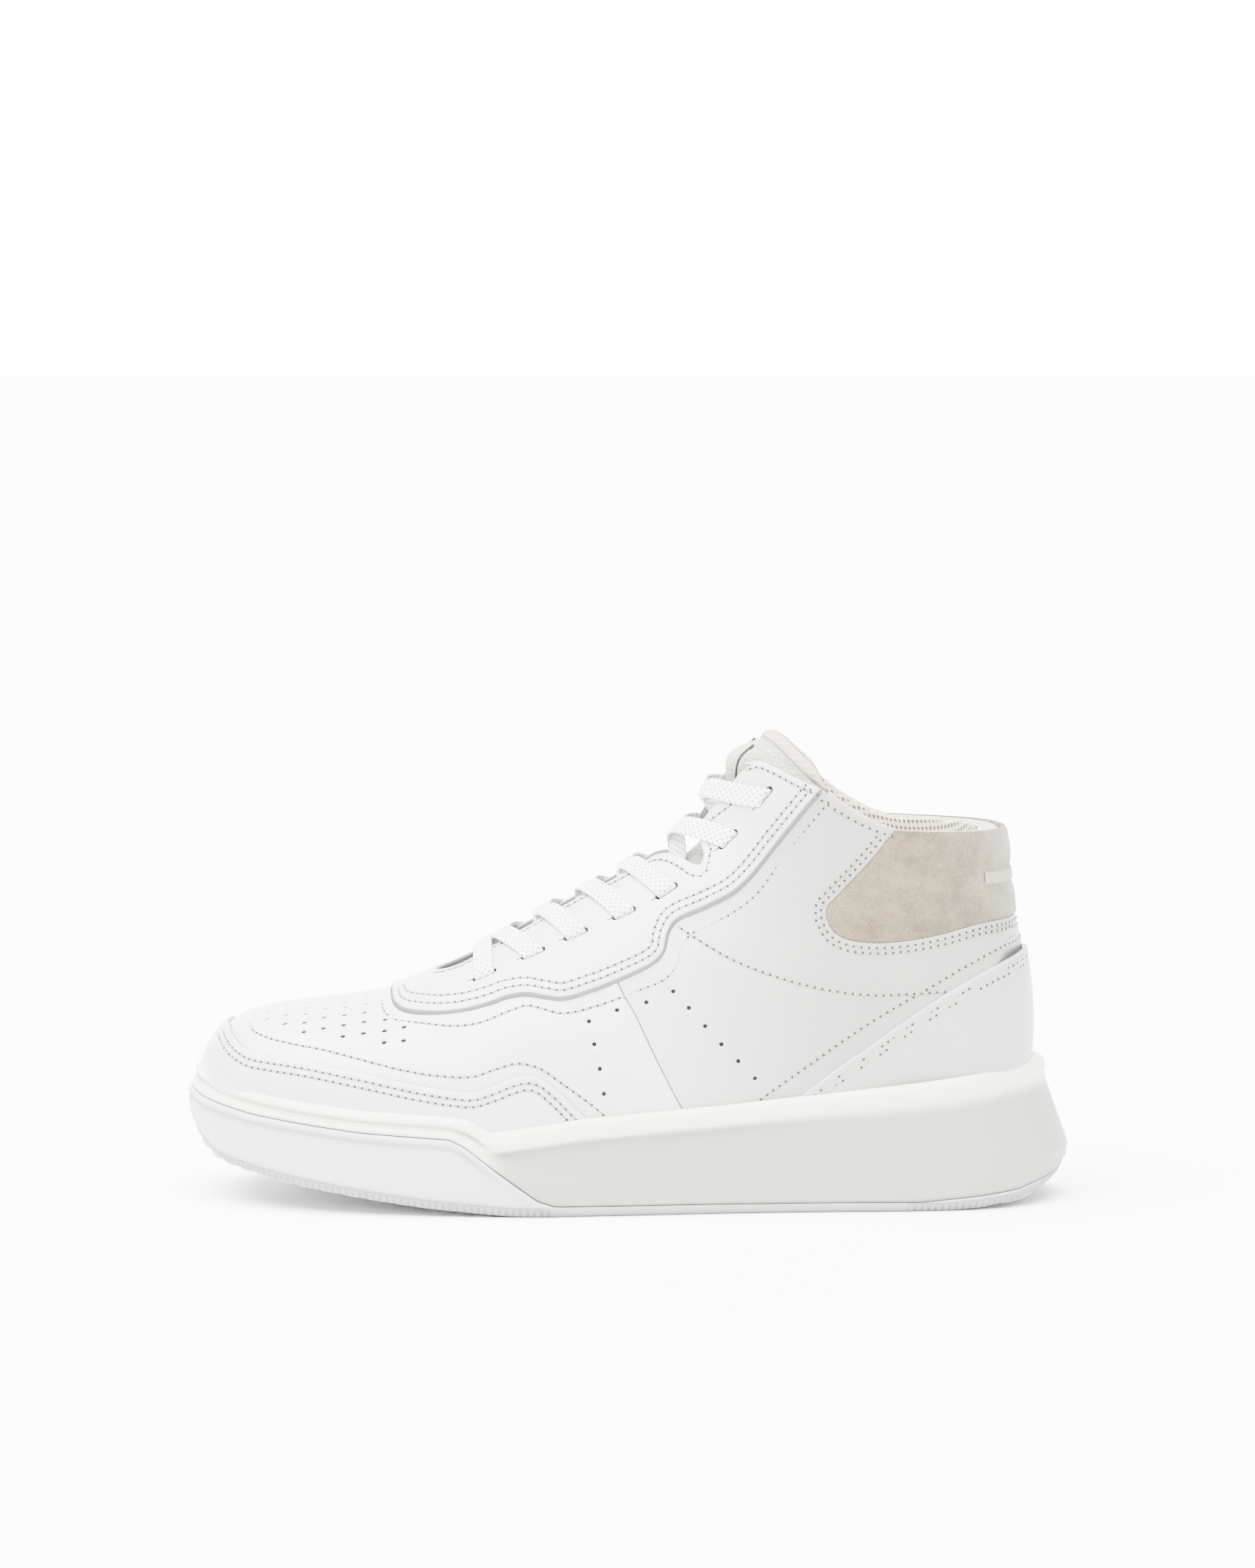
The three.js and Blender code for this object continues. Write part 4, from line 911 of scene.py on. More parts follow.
# Nap brushed in patches a few millimetres wide over fibres about a third of a millimetre.
patches = addNode(suedeTree, "ShaderNodeTexNoise", None, Vector=place, Scale=120.0, Detail=5.0, Roughness=0.65)
fibres = addNode(suedeTree, "ShaderNodeTexNoise", None, Vector=place, Scale=2600.0, Detail=2.0)
both = addNode(suedeTree, "ShaderNodeMath", dict(operation="ADD"), i0=(patches, "Fac"), i1=(fibres, "Fac"))
half = addNode(suedeTree, "ShaderNodeMath", dict(operation="MULTIPLY"), i0=(both, "Value"), i1=0.5)
tone = ramp(suedeTree, (half, "Value"), [(0.36, "#41372a"), (0.64, "#75684f")])
suedeTree.links.new(tone.outputs["Color"], suedeShader.inputs["Base Color"])
napped = bump(suedeTree, suedeShader, (patches, "Fac"), 0.0007)
bump(suedeTree, suedeShader, (fibres, "Fac"), 0.0005, 1.0, napped)
suedeShader.inputs["Sheen Weight"].default_value = 0.35
suedeShader.inputs["Sheen Roughness"].default_value = 0.5

padFoam, _, _ = newMaterial("polyurethane foam", "#d9cfb2", 0.95)

lateralWindow, medialWindow = wrap(windowEdge, 1.0, (4,))
rim = smoothLine(collarEdge, 1.2)
outline = np.vstack([lateralWindow, medialWindow[1:], onSide(rim, 1)[1:], onSide(rim[::-1], -1)[1:-1]])


suedePiece = dict(puff=1.5, edgeRound=0.5, swell=0.25, swellSeed=5.2, underside=-1.3, spacing=2.2)
bartackPiece = dict(low=109.8, high=114.4, halfRun=31, crossings=84, dent=1.2, rise=0.35, stitch=5.2, thread=0.5)


def suedeTop(places, edge):
    x, y, z = lastPoint(places[:, 0], places[:, 1]).T
    puff = suedePiece["puff"] * smoothstep(edge, 0.3, 9) - suedePiece["edgeRound"] * (1 - smoothstep(edge, 0, 1.2))
    tack = np.exp(-((z - 112) / 3.4) ** 2) * (1 - smoothstep(np.abs(y), 25, 29)) * (x > 100)
    waves = swell(places, suedePiece["swell"], suedePiece["swellSeed"]) * smoothstep(edge, 1, 8)
    return puff + waves - bartackPiece["dent"] * tack


collarSuede = panel("collar_suede", outline, [], suedeTop, flatTop(suedePiece["underside"]), [suede, suede],
                    spacing=suedePiece["spacing"], base=18.0, back=True)
keep(collarSuede, "shoe", "suede", "collar_suede")

foamEdge = [(80, 124), (77, 112), (80, 104), (88, 98), (100, 96), (120, 98), (134, 99.2)]
foamTop = [(80, 124), (84, 129.4), (90.8, 127.4), (101.5, 126.6), (119, 126.2), (131, 126.1)]
lateralFoam, medialFoam = wrap(foamEdge, 2.5)
rim = smoothLine(foamTop, 2.5)
outline = np.vstack([lateralFoam, medialFoam[1:], onSide(rim, 1)[1:], onSide(rim[::-1], -1)[1:-1]])
collarPad = dict(top=-1.8, underside=-2.3, spacing=5)
collarFoam = panel("collar_foam", outline, [], flatTop(collarPad["top"]),
                   lambda places, edge: collarPad["underside"] - collarPadding(places), [padFoam],
                   spacing=collarPad["spacing"], base=18.0, back=True)
keep(collarFoam, "shoe", "inner_foam", "collar_foam")

# Cream knitted textile: rows of loops about a millimetre apart, darker where the loops dip: painted shade.
textile, textileTree, textileShader = newMaterial("cream lining textile", "#c0b5a6", 0.92)
flatUv = addNode(textileTree, "ShaderNodeUVMap", dict(uv_map="flat"))
rowsWave = addNode(textileTree, "ShaderNodeTexWave", dict(wave_type="BANDS", bands_direction="DIAGONAL"),
                   Vector=(flatUv, "UV"), Scale=170.0, Distortion=0.6)
crossWave = addNode(textileTree, "ShaderNodeTexWave", dict(wave_type="BANDS", bands_direction="Y"),
                    Vector=(flatUv, "UV"), Scale=260.0, Distortion=0.4)
knit = addNode(textileTree, "ShaderNodeMath", dict(operation="MULTIPLY"), i0=(rowsWave, "Fac"), i1=(crossWave, "Fac"))
bump(textileTree, textileShader, (knit, "Value"), 0.0003)
tone = ramp(textileTree, (knit, "Value"), [(0.0, "#9f9486"), (0.6, "#c8bdae")])
textileTree.links.new(tone.outputs["Color"], textileShader.inputs["Base Color"])

# Spacer mesh: oval holes in diagonal rows, 2.6 mm apart, coloured dark inside as painted shade.
mesh, meshTree, meshShader = newMaterial("cream spacer mesh", "#d8c8b5", 0.92)
flatUv = addNode(meshTree, "ShaderNodeUVMap", dict(uv_map="flat"))
turned = addNode(meshTree, "ShaderNodeMapping", None, Vector=(flatUv, "UV"), Rotation=(0, 0, 0.78),
                 Scale=(330, 440, 1))
cells = addNode(meshTree, "ShaderNodeTexVoronoi", dict(feature="F1"), Vector=(turned, "Vector"), Scale=1.0,
                Randomness=0.0)
hole = ramp(meshTree, (cells, "Distance"), [(0.22, "#6a6054"), (0.34, "#dccdba")])
meshTree.links.new(hole.outputs["Color"], meshShader.inputs["Base Color"])
bump(meshTree, meshShader, (hole, "Color"), 0.0005)

wholeEdge = topEdge + collarEdge[1:]
turns = np.linspace(-1.06, 1.06 - 2 * pi, 150)
collarRollPiece = dict(radius=1.9, paddedRadius=3.3, drop=1.2, paddedDrop=3.4, depth=2.25)
fill = collarPadding(edgeRun(wholeEdge, turns, 0.8)) / 5
rollPlaces = edgeRun(wholeEdge, turns,
                     collarRollPiece["drop"] + (collarRollPiece["paddedDrop"] - collarRollPiece["drop"]) * fill)
rollRadii = collarRollPiece["radius"] + (collarRollPiece["paddedRadius"] - collarRollPiece["radius"]) * fill
collarRoll = roll("collar_binding", rollPlaces, -collarRollPiece["depth"] - 2.5 * fill, rollRadii, textile, 14)
keep(collarRoll, "shoe", "lining_textile", "collar_binding")

liningPiece = dict(top=-2.9, underside=-4.1, quarterSpacing=3.2, vampSpacing=4, slotLength=9.4, slotWidth=3.4)
for side, name in ((-1, "quarter_lining_lateral"), (1, "quarter_lining_medial")):
    rim = smoothLine(wholeEdge, 2.0) - [0, 1.0]
    floorRun = np.stack([np.linspace(135, -14, 60), np.interp(np.linspace(135, -14, 60), [-41, 0, 40, 80, 110, 160],
                                                            [15.8, 17.8, 21.8, 26.3, 29.3, 34.3])], -1)
    throatEdge = throatRun(side, 1.2)
    cut = throatEdge[lastPoint(*throatEdge.T)[:, 0] > -26]
    outline = np.vstack([onSide(smoothLine([(-14.5, 20), (-24, 80), (-27, 98.5)], 2.0), side), cut, onSide(rim, side),
                         backRun(126, 31.5, side) - [0, side * 0.004], onSide(floorRun, side)])
    slot = stadium(liningPiece["slotLength"], liningPiece["slotWidth"])
    slots = [drawnAt(*eyelet(k, side), slot) for k in range(5)]
    lining = panel(name, outline, slots, lambda places, edge: liningPiece["top"] - collarPadding(places),
                   lambda places, edge: liningPiece["underside"] - collarPadding(places), [mesh],
                   spacing=liningPiece["quarterSpacing"], base=14.0)
    keep(lining, "shoe", "lining_textile", name)

low = onSide(cupRun(-15, -146.3, 4.0), -1)
cut = throatRun(-1, 1.2)
cut = cut[lastPoint(*cut.T)[:, 0] < -27.5]
otherCut = throatRun(1, 1.2)
otherCut = otherCut[lastPoint(*otherCut.T)[:, 0] < -27.5]
liningSeam = smoothLine([(-27.4, 98.0), (-24.4, 80), (-15.5, 28)], 2.0)
outline = np.vstack([cut, onSide(liningSeam, -1), low[:-1], [[0.24, 0.0]],
                     onSide(cupRun(-15, -146.3, 4.0), 1)[::-1][1:], onSide(liningSeam, 1)[::-1], otherCut[::-1][:-1]])
vampLining = panel("vamp_lining", outline, [drawnAt(*eyelet(k, side), slot) for side in (-1, 1) for k in (5, 6)],
                   flatTop(liningPiece["top"]), flatTop(liningPiece["underside"]), [textile],
                   spacing=liningPiece["vampSpacing"], base=7.0)
keep(vampLining, "shoe", "lining_textile", "vamp_lining")

print("slits beyond the lace slots")
# Thin dark shapes just beyond each lace slot: painted shade in the slits.
slitPiece = dict(beyond=5.3, length=2.6, width=0.2, level=1.62)
slits = []
for k in range(7):
    for side in (-1, 1):
        place, row = eyelet(k, side)
        spot = drawnAt(place, row, np.array([[slitPiece["beyond"], 0.0]]))[0]
        slits.append((lift(spot, slitPiece["level"]), row, lastNormal(*spot), 1.0))
slitShape = stitchShape(slitPiece["length"], slitPiece["width"])
keep(scatter("slot_slit_shade", slitShape, slits, paintedShadeDark), "shoe", "white_leather")

print("heel bartack")
# The cream bartack thread is darkened with painted shade between its crossings.
shadedBartackThread, _, _ = newMaterial("bartack thread with painted shade", "#8a8072", 0.7)
tackRow = np.interp(112, rows[1:-1, 3][13:], np.arange(13, topRow + 1))
table = aroundTable[int(tackRow * 10)]
tacks = []
across = np.linspace(-bartackPiece["halfRun"], bartackPiece["halfRun"], bartackPiece["crossings"])
ends = []
for n, reach in enumerate(across):
    edge = lookUp(aroundTable, np.array([tackRow]), np.array([pi if reach > 0 else -pi]))[0]
    turn = np.interp(edge - reach, table, aTable)
    level = bartackPiece["high" if n % 2 else "low"]
    spot = edgeRun([(0, level), (200, level)], np.array([turn]), 0.0)
    ends.append((lift(spot, suedeTop(spot, np.array([9.0])) + bartackPiece["rise"])[0], lastNormal(*spot[0])))
for (start, normal), (stop, _) in zip(ends, ends[1:]):
    run = stop - start
    tacks.append(((start + stop) / 2, run / np.linalg.norm(run), normal, 1.0))
tack = scatter("heel_bartack", stitchShape(bartackPiece["stitch"], bartackPiece["thread"]), tacks, shadedBartackThread)
keep(tack, "shoe", "thread", "heel_bartack")

print("tongue")
tongueTop = [(20, 170), (41, 164.5), (46, 161), (55, 152.3), (66, 142.5)]
tongueSide = [(-66, 62), (-38, 73), (0, 89), (25, 101), (45, 117), (61, 134), (63.8, 138.5), (62.5, 144.6)]
tonguePiece = dict(top=-7.0, underside=-8.2, puff=1.4, bulge=5.0, bulgeHeight=152, stripHalf=8.4, stripGroove=0.8,
                   foamTop=-8.5, foamUnder=-12.3, liningTop=-12.6, liningUnder=-13.6, spacing=1.8,
                   rollRadius=2.9, rollLevel=-9.8, labelLength=15.5, labelTop=-5.0, labelUnder=-6.4)
topTurns = np.linspace(-1.0, 1.0, 60)
crown = edgeRun(tongueTop, topTurns, 2.6)
front = onTop([(-66, 0.01)])[0] * [1, 0]
side = smoothLine(tongueSide[:-1], 1.6)
outline = np.vstack([front[None], onSide(side, -1)[1:], crown, onSide(side[::-1], 1)[:-1]])


def tongueSkin(level):
    def offset(places, edge):
        x, y, z = lastPoint(places[:, 0], places[:, 1]).T
        puff = tonguePiece["puff"] * smoothstep(edge, 0.5, 7) * smoothstep(z, 128, 140)
        bulge = np.exp(-((z - tonguePiece["bulgeHeight"]) / 6.5) ** 2) * (1 - smoothstep(np.abs(y), 6, 15))
        groove = 1 - smoothstep(np.abs(np.abs(y) - tonguePiece["stripHalf"]), 0.1, 0.9)
        puff += tonguePiece["bulge"] * bulge * smoothstep(edge, 0, 3)
        return level + puff - tonguePiece["stripGroove"] * groove
    return offset


pebble, pebbleTree, pebbleShader = newMaterial("pebbled tongue leather", "#9c9d93", 0.55)
place = (addNode(pebbleTree, "ShaderNodeTexCoord"), "Object")
grains = addNode(pebbleTree, "ShaderNodeTexVoronoi", dict(feature="SMOOTH_F1"), Vector=place, Scale=1000.0)
bump(pebbleTree, pebbleShader, (grains, "Distance"), 0.0005)
tongue = panel("tongue_leather", outline, [], tongueSkin(tonguePiece["top"]), flatTop(tonguePiece["underside"]),
               [pebble, rawEdge], spacing=tonguePiece["spacing"], base=15.0)
keep(tongue, "tongue", "white_leather", "tongue_leather")
coarse = outline[::2]
tongueFoam = panel("tongue_foam", coarse, [], flatTop(tonguePiece["foamTop"]), flatTop(tonguePiece["foamUnder"]),
                   [padFoam], spacing=5, base=15.0)
keep(tongueFoam, "tongue", "inner_foam", "tongue_foam")
tongueLining = panel("tongue_lining", coarse, [], flatTop(tonguePiece["liningTop"]),
                     flatTop(tonguePiece["liningUnder"]), [textile], spacing=4, base=15.0)
keep(tongueLining, "tongue", "lining_textile", "tongue_lining")
crownRun = edgeRun(tongueTop, np.linspace(-1.02, 1.02, 70), 1.5)
taper = 1 - 0.75 * smoothstep(np.abs(np.linspace(-1.02, 1.02, 70)), 0.84, 1.02)
tongueRoll = roll("tongue_binding", crownRun, np.full(70, tonguePiece["rollLevel"]),
                  tonguePiece["rollRadius"] * taper, textile, 14, 1.0)
keep(tongueRoll, "tongue", "lining_textile", "tongue_binding")
# Thin dark rolls along the tongue strip's grooves: painted shade in the seam grooves.
for side, name in ((-1, "tongue_seam_shade_lateral"), (1, "tongue_seam_shade_medial")):
    run = onTop(np.stack([np.linspace(31.5, 40.5, 30), np.full(30, tonguePiece["stripHalf"] * side)], -1))
    sunk = tongueSkin(tonguePiece["top"])(run, np.full(30, 9.0)) + 0.55
    keep(roll(name, run, sunk, np.full(30, 0.45), paintedShadeDark, 8), "tongue", "white_leather")
labelPlace = onTop([(34.6, 0.4)])[0]
ridge = lastPoint(labelPlace[0] + 0.5, 0) - lastPoint(labelPlace[0] - 0.5, 0)
disc = stadium(tonguePiece["labelLength"], tonguePiece["labelLength"], 12)
labelOutline = drawnAt(labelPlace, ridge, disc * [0.55, 1] + disc * [0.45, 0])
label = panel("tongue_label", labelOutline, [], skinTop(tonguePiece["labelTop"], (), 0.0, 0.0, 0.2),
              flatTop(tonguePiece["labelUnder"]), [whiteLeather, rawEdge], spacing=1.6, base=17.0)
keep(label, "tongue", "label_leather", "tongue_label")

print("sole")
groundLine = [(-160, 30), (-152, 26), (-149, 21), (-141, 15), (-116, 9.9), (-91, 6), (-66, 2.7), (-41, 0.5), (-28, 0),
              (110, 0), (121, 0.8), (134, 2.2), (146.5, 6), (151.5, 11), (160, 20)]
rubberLine = [(-160, 39), (-146, 35.5), (-128, 32.5), (-91, 28.2), (-60, 26.3), (-55, 24), (-42, 14.2), (-30, 5.5),
              (-24, 3.6), (100, 3.2), (121, 4.9), (134, 6.3), (146, 9.7), (160, 18)]
wideLine = [(-152, 34), (-120, 30), (-60, 24), (-35, 12), (0, 6), (100, 8), (150, 18)]
insoleLine = [(-160, 33), (-146, 31), (-130, 25.5), (-116, 21.5), (-91, 16.5), (-66, 13.5), (-41, 12.5), (0, 14.5),
              (40, 18.5), (80, 23), (110, 26), (160, 31)]
soleOutline = [(-152.3, 7), (-148.5, -11), (-138, -28.5), (-118, -43.5), (-92, -52), (-62, -56.2), (-35, -57),
               (-5, -53.8), (30, -49), (65, -45.5), (100, -43.5), (125, -38.5), (142, -26), (150.5, -11), (152.7, 1),
               (150.5, 13), (142, 28), (125, 39.5), (100, 43), (65, 42), (30, 44), (-5, 48.5), (-35, 53), (-62, 56),
               (-92, 56), (-118, 52), (-138, 40.5), (-148.5, 23.5)]
tripled = smoothLine([soleOutline[-2], soleOutline[-1], *soleOutline, soleOutline[0], soleOutline[1]], 0.25)
starts = np.where(np.linalg.norm(tripled - np.array(soleOutline[0]), axis=1) < 1e-6)[0]
loop = tripled[starts[0]:starts[-1]]
reach = np.concatenate([[0], np.cumsum(np.linalg.norm(np.diff(np.vstack([loop, loop[:1]]), axis=0), axis=1))])
soleCount = int(reach[-1] / 0.6)
arc = np.arange(soleCount) * reach[-1] / soleCount
closedLoop = np.vstack([loop, loop[:1]])
edgeX, edgeY = np.interp(arc, reach, closedLoop[:, 0]), np.interp(arc, reach, closedLoop[:, 1])
tangent = np.stack([np.roll(edgeX, -1) - np.roll(edgeX, 1), np.roll(edgeY, -1) - np.roll(edgeY, 1)], -1)
tangent /= np.linalg.norm(tangent, axis=1, keepdims=True)
lineX = edgeX


def softLine(line, x, width=3.0):
    return sum(heightAt(line, x + d) for d in np.linspace(-width, width, 7)) / 7


groundZ = softLine(groundLine, lineX)
cupZ = softLine(cupLine, lineX, 2.0)
rubberZ = softLine(rubberLine, lineX, 1.2)
wideZ = np.maximum(softLine(wideLine, lineX), groundZ + 4)
rimIn = 3.2 + 1.4 * smoothstep(-lineX, 125, 150) + 6.8 * smoothstep(lineX, 95, 150)


# Inset of the sole's side from its widest outline at a height.
def sideInset(z):
    low = 2.6 - 1.9 * np.clip((z - groundZ) / 3.2, 0, 1)
    mid = 0.7 * (1 - np.clip((z - groundZ - 3.2) / np.maximum(wideZ - groundZ - 3.2, 0.5), 0, 1))
    high = rimIn * np.clip((z - wideZ) / np.maximum(cupZ - wideZ, 1), 0, 1)
    return np.where(z < groundZ + 3.2, low, mid) + high


def soleRing(inset, z):
    x = edgeX - tangent[:, 1] * inset
    y = edgeY + tangent[:, 0] * inset
    z = np.broadcast_to(z, x.shape)
    return (np.stack([x, y, z], -1) + drawingShift) * mm


def hump(value, middle, half):
    t = np.clip(np.abs(value - middle) / half, 0, 1)
    return np.sqrt(1 - t * t)


rear = smoothstep(lineX, -52, -40)
fade = smoothstep(lineX, 20, 120)
polyurethane, puTree, puShader = newMaterial("moulded polyurethane", "#a9aaa3", 0.5)
place = (addNode(puTree, "ShaderNodeTexCoord"), "Object")
skinNoise = addNode(puTree, "ShaderNodeTexNoise", None, Vector=place, Scale=900.0, Detail=3.0)
bump(puTree, puShader, (skinNoise, "Fac"), 0.00012)
midsolePiece = dict(foreBead=1.0, foreBeadHeight=4.6, foreGroove=0.9, foreLip=0.5, rearBead=1.1, rearBeadHeight=6.4,
                    recess=1.5, footLip=0.5)
rings, shadeShares = [], []
for t in np.linspace(0, 1, 34):
    z = rubberZ + 0.3 + (cupZ - rubberZ - 0.3) * t
    down = cupZ - z
    height = cupZ - rubberZ
    # Forefoot: a rolled bead, a groove half way and a lower lip.
    half = midsolePiece["foreBeadHeight"] / 2
    fore = midsolePiece["foreBead"] * hump(down, half, half)
    fore = fore + midsolePiece["foreLip"] * hump(down, height * 0.72, height * 0.2)
    fore = fore - midsolePiece["foreGroove"] * np.exp(-((down - height * 0.5) / 0.9) ** 2)
    # Rear: a smooth bead over a recessed panel that flares out to its foot.
    border = midsolePiece["rearBeadHeight"] - 1.2 * fade
    bead = midsolePiece["rearBead"] * hump(down, border / 2, border / 2)
    recess = smoothstep(down, border - 0.4, border + 0.8 + 3 * fade) * (1 - smoothstep(down, border + 2, height - 1))
    recess = -midsolePiece["recess"] * (1 - 0.65 * fade) * recess
    lip = midsolePiece["footLip"] * hump(height - down, 0.8, 0.8)
    relief = fore * (1 - rear) + (bead + recess + lip) * rear
    foot = 0.5 * (1 - smoothstep(height - down, 0.0, 0.7))
    rings.append(soleRing(sideInset(z) - relief + foot, z))
    # Painted shade: darker over the recessed rear panel, in the forefoot groove and along the foot of the wall where it
    # meets the rubber.
    grooveShade = np.exp(-((down - height * 0.5) / 1.0) ** 2) * (1 - rear)
    panelShade = rear * smoothstep(down, border - 0.5, border + 1.0 + 5 * fade)
    shadeShares.append(np.clip(0.75 * panelShade + 0.5 * grooveShade + 0.5 * (1 - smoothstep(height - down, 0, 1.2)), 0, 1))
for inward, z in ((0.5, cupZ + 0.25), (1.6, cupZ + 0.35), (3.4, cupZ - 0.6), (3.6, cupZ - 6), (3.0, rubberZ + 0.3)):
    rings.append(soleRing(rimIn + inward, z))
shadeShares += [np.zeros(soleCount)] * 5
midsole = ringMesh("midsole", rings, [polyurethane], loop=True)
markPaintedShade(midsole, shadeShares)
# Lit colour and painted shade colour of the polyurethane.
mixPaintedShade(polyurethane, "#cdcec7", "#62635c")
faceOut(midsole)
keep(midsole, "shoe", "midsole_foam", "midsole")

rubber, rubberTree, rubberShader = newMaterial("white rubber", "#adadac", 0.55)
place = (addNode(rubberTree, "ShaderNodeTexCoord"), "Object")
moulded = addNode(rubberTree, "ShaderNodeTexNoise", None, Vector=place, Scale=1400.0, Detail=2.0)
bump(rubberTree, rubberShader, (moulded, "Fac"), 0.00008)
outsolePiece = dict(ribPitch=2.4, ribDepth=0.5, edgeBead=0.85, underGroove=0.4, stripBead=0.45, treadPitch=9,
                    treadDepth=1.5, treadThickness=3.4)
ribZone = np.clip(smoothstep(-lineX, 24, 27) + smoothstep(lineX, 94, 97), 0, 1)
ribWave = 0.5 + 0.5 * np.tanh(3 * np.sin(arc * 2 * pi / outsolePiece["ribPitch"]))
rings, shadeShares = [], []
levels = [0, 0.25, 0.6, 1.0, 1.5, 2.0, 2.35, 2.7, 3.1, 3.5]
for level in [*levels, *np.linspace(0.05, 1, 26)]:
    z = groundZ + level if len(rings) < len(levels) else groundZ + 3.5 + (rubberZ - groundZ - 3.5) * level
    z = np.minimum(z, rubberZ)
    down = rubberZ - z
    bead = outsolePiece["edgeBead"] * hump(down, 0.9, 0.9) * (1 - smoothstep(lineX, -30, -22))
    under = -outsolePiece["underGroove"] * np.exp(-((down - 2.6) / 1.0) ** 2) * (1 - rear)
    high = z - groundZ
    ribs = ribZone * ribWave * smoothstep(high, 0.1, 0.5) * (1 - smoothstep(high, 2.2, 2.6))
    ribs = outsolePiece["ribDepth"] * ribs
    shelf = -0.35 * ribZone * hump(high, 1.3, 1.3) - 0.5 * ribZone * np.exp(-((high - 2.9) / 0.3) ** 2)
    strip = outsolePiece["stripBead"] * rear * hump(down, 1.2, 1.2)
    edge = 0.4 * (1 - smoothstep(high, 0, 0.5))
    rings.append(soleRing(sideInset(z) - (bead + under + ribs + shelf + strip) + edge, z))
    # Painted shade: darker in the gaps between the ribs and the groove above them, along the low band of the wall, and
    # in the groove below the top bead at the front.
    gaps = (1 - ribWave) * (1 - smoothstep(high, 2.0, 2.6)) + np.exp(-((high - 2.9) / 0.35) ** 2)
    gaps = ribZone * gaps
    low = 0.55 * (1 - smoothstep(high, 2.4, 5.0))
    shadeShares.append(np.clip(low + 0.45 * gaps + 0.5 * np.exp(-((down - 2.6) / 0.9) ** 2) * (1 - rear), 0, 1))
# The hidden inner rings are fully in painted shade.
shadeShares += [np.ones(soleCount)] * 3
rings.append(soleRing(sideInset(rubberZ) + 3.0, rubberZ))
rings.append(soleRing(np.full(soleCount, 5.0), np.minimum(groundZ + 3.0, rubberZ - 0.2)))
rings.append(soleRing(np.full(soleCount, 5.0), groundZ))
outsole = ringMesh("outsole", rings, [rubber], loop=True)
markPaintedShade(outsole, shadeShares)
# Lit colour and painted shade colour of the rubber.
mixPaintedShade(rubber, "#afafae", "#6a6a6a")
faceOut(outsole)
keep(outsole, "shoe", "rubber", "outsole")


# A slab between two heights, cut to side walls given by x, with an even grid across.
def slab(name, xs, walls, topZ, bottomZ, material, across=24, dome=0.0):
    share = np.linspace(0, 1, across)
    lateral, medial = walls(xs)
    y = lateral[:, None] + (medial - lateral)[:, None] * share[None, :]
    x = np.repeat(xs[:, None], across, 1)
    top = np.stack([x, y, topZ(x, y) - dome * (2 * share[None, :] - 1) ** 8], -1)
    low = np.stack([x, y, bottomZ(x, y)], -1)
    n = len(xs)
    grid = np.arange(n * across).reshape(n, across)
    a, b, c, d = grid[:-1, :-1].ravel(), grid[1:, :-1].ravel(), grid[1:, 1:].ravel(), grid[:-1, 1:].ravel()
    faces = [*np.stack([a, b, c, d], -1)]
    faces += [*(np.stack([d, c, b, a], -1) + n * across)]
    edge = [*grid[0], *grid[1:, -1], *grid[-1, ::-1][1:], *grid[1:-1, 0][::-1]]
    faces += [(p, q, q + n * across, p + n * across) for p, q in zip(edge, edge[1:] + edge[:1])]
    points = (np.concatenate([top.reshape(-1, 3), low.reshape(-1, 3)]) + drawingShift) * mm
    obj = meshObject(name, points, faces, [material])
    faceOut(obj)
    layer = obj.data.uv_layers.new(name="flat")
    corners = np.empty(len(obj.data.loops), dtype=np.int32)
    obj.data.loops.foreach_get("vertex_index", corners)
    layer.data.foreach_set("uv", points[corners][:, :2].ravel())
    return obj


def soleWalls(inset):
    x = edgeX - tangent[:, 1] * inset
    y = edgeY + tangent[:, 0] * inset

    def walls(xs):
        out = []
        for side in (-1, 1):
            part = (y - 2) * side > 0
            order = np.argsort(x[part])
            out.append(np.interp(xs, x[part][order], y[part][order], left=2, right=2))
        return out
    return walls


def tread(x, y):
    grooves = np.abs(((x + np.abs(y - 2) * 0.5) / outsolePiece["treadPitch"]) % 1 - 0.5) * 2
    return softLine(groundLine, x) + outsolePiece["treadDepth"] * smoothstep(grooves, 0.62, 0.78)


xs = np.linspace(edgeX.min() + 3.2, edgeX.max() - 3.2, 300)
treadSlab = slab("outsole_tread", xs, soleWalls(3.0),
                 lambda x, y: softLine(groundLine, x) + outsolePiece["treadThickness"], tread, rubber, 70)
keep(treadSlab, "shoe", "rubber")


# The inner walls of the shoe at a height over the insole line.
def roomWalls(height, offset):
    def walls(xs):
        z = heightAt(insoleLine, xs) + height
        line = np.stack([xs, z], -1)
        return [lift(onSide(line, side), np.full(len(xs), offset))[:, 1] / mm - drawingShift[1] for side in (-1, 1)]
    return walls


footbedPiece = dict(foamUnder=3.4, foamTop=6.8, coverUnder=7.1, coverTop=8.1, dome=0.3)
xs = np.linspace(-132, 126.5, 120)
footFoam = slab("footbed_foam", xs, roomWalls(5, -4.5),
                lambda x, y: heightAt(insoleLine, x) + footbedPiece["foamTop"],
                lambda x, y: heightAt(insoleLine, x) + footbedPiece["foamUnder"], padFoam, 20)
keep(footFoam, "footbed", "inner_foam", "footbed_foam")
cover = slab("footbed_cover", xs, roomWalls(7.5, -4.6),
             lambda x, y: heightAt(insoleLine, x) + footbedPiece["coverTop"],
             lambda x, y: heightAt(insoleLine, x) + footbedPiece["coverUnder"], textile, 20, footbedPiece["dome"])
keep(cover, "footbed", "lining_textile", "footbed_cover")

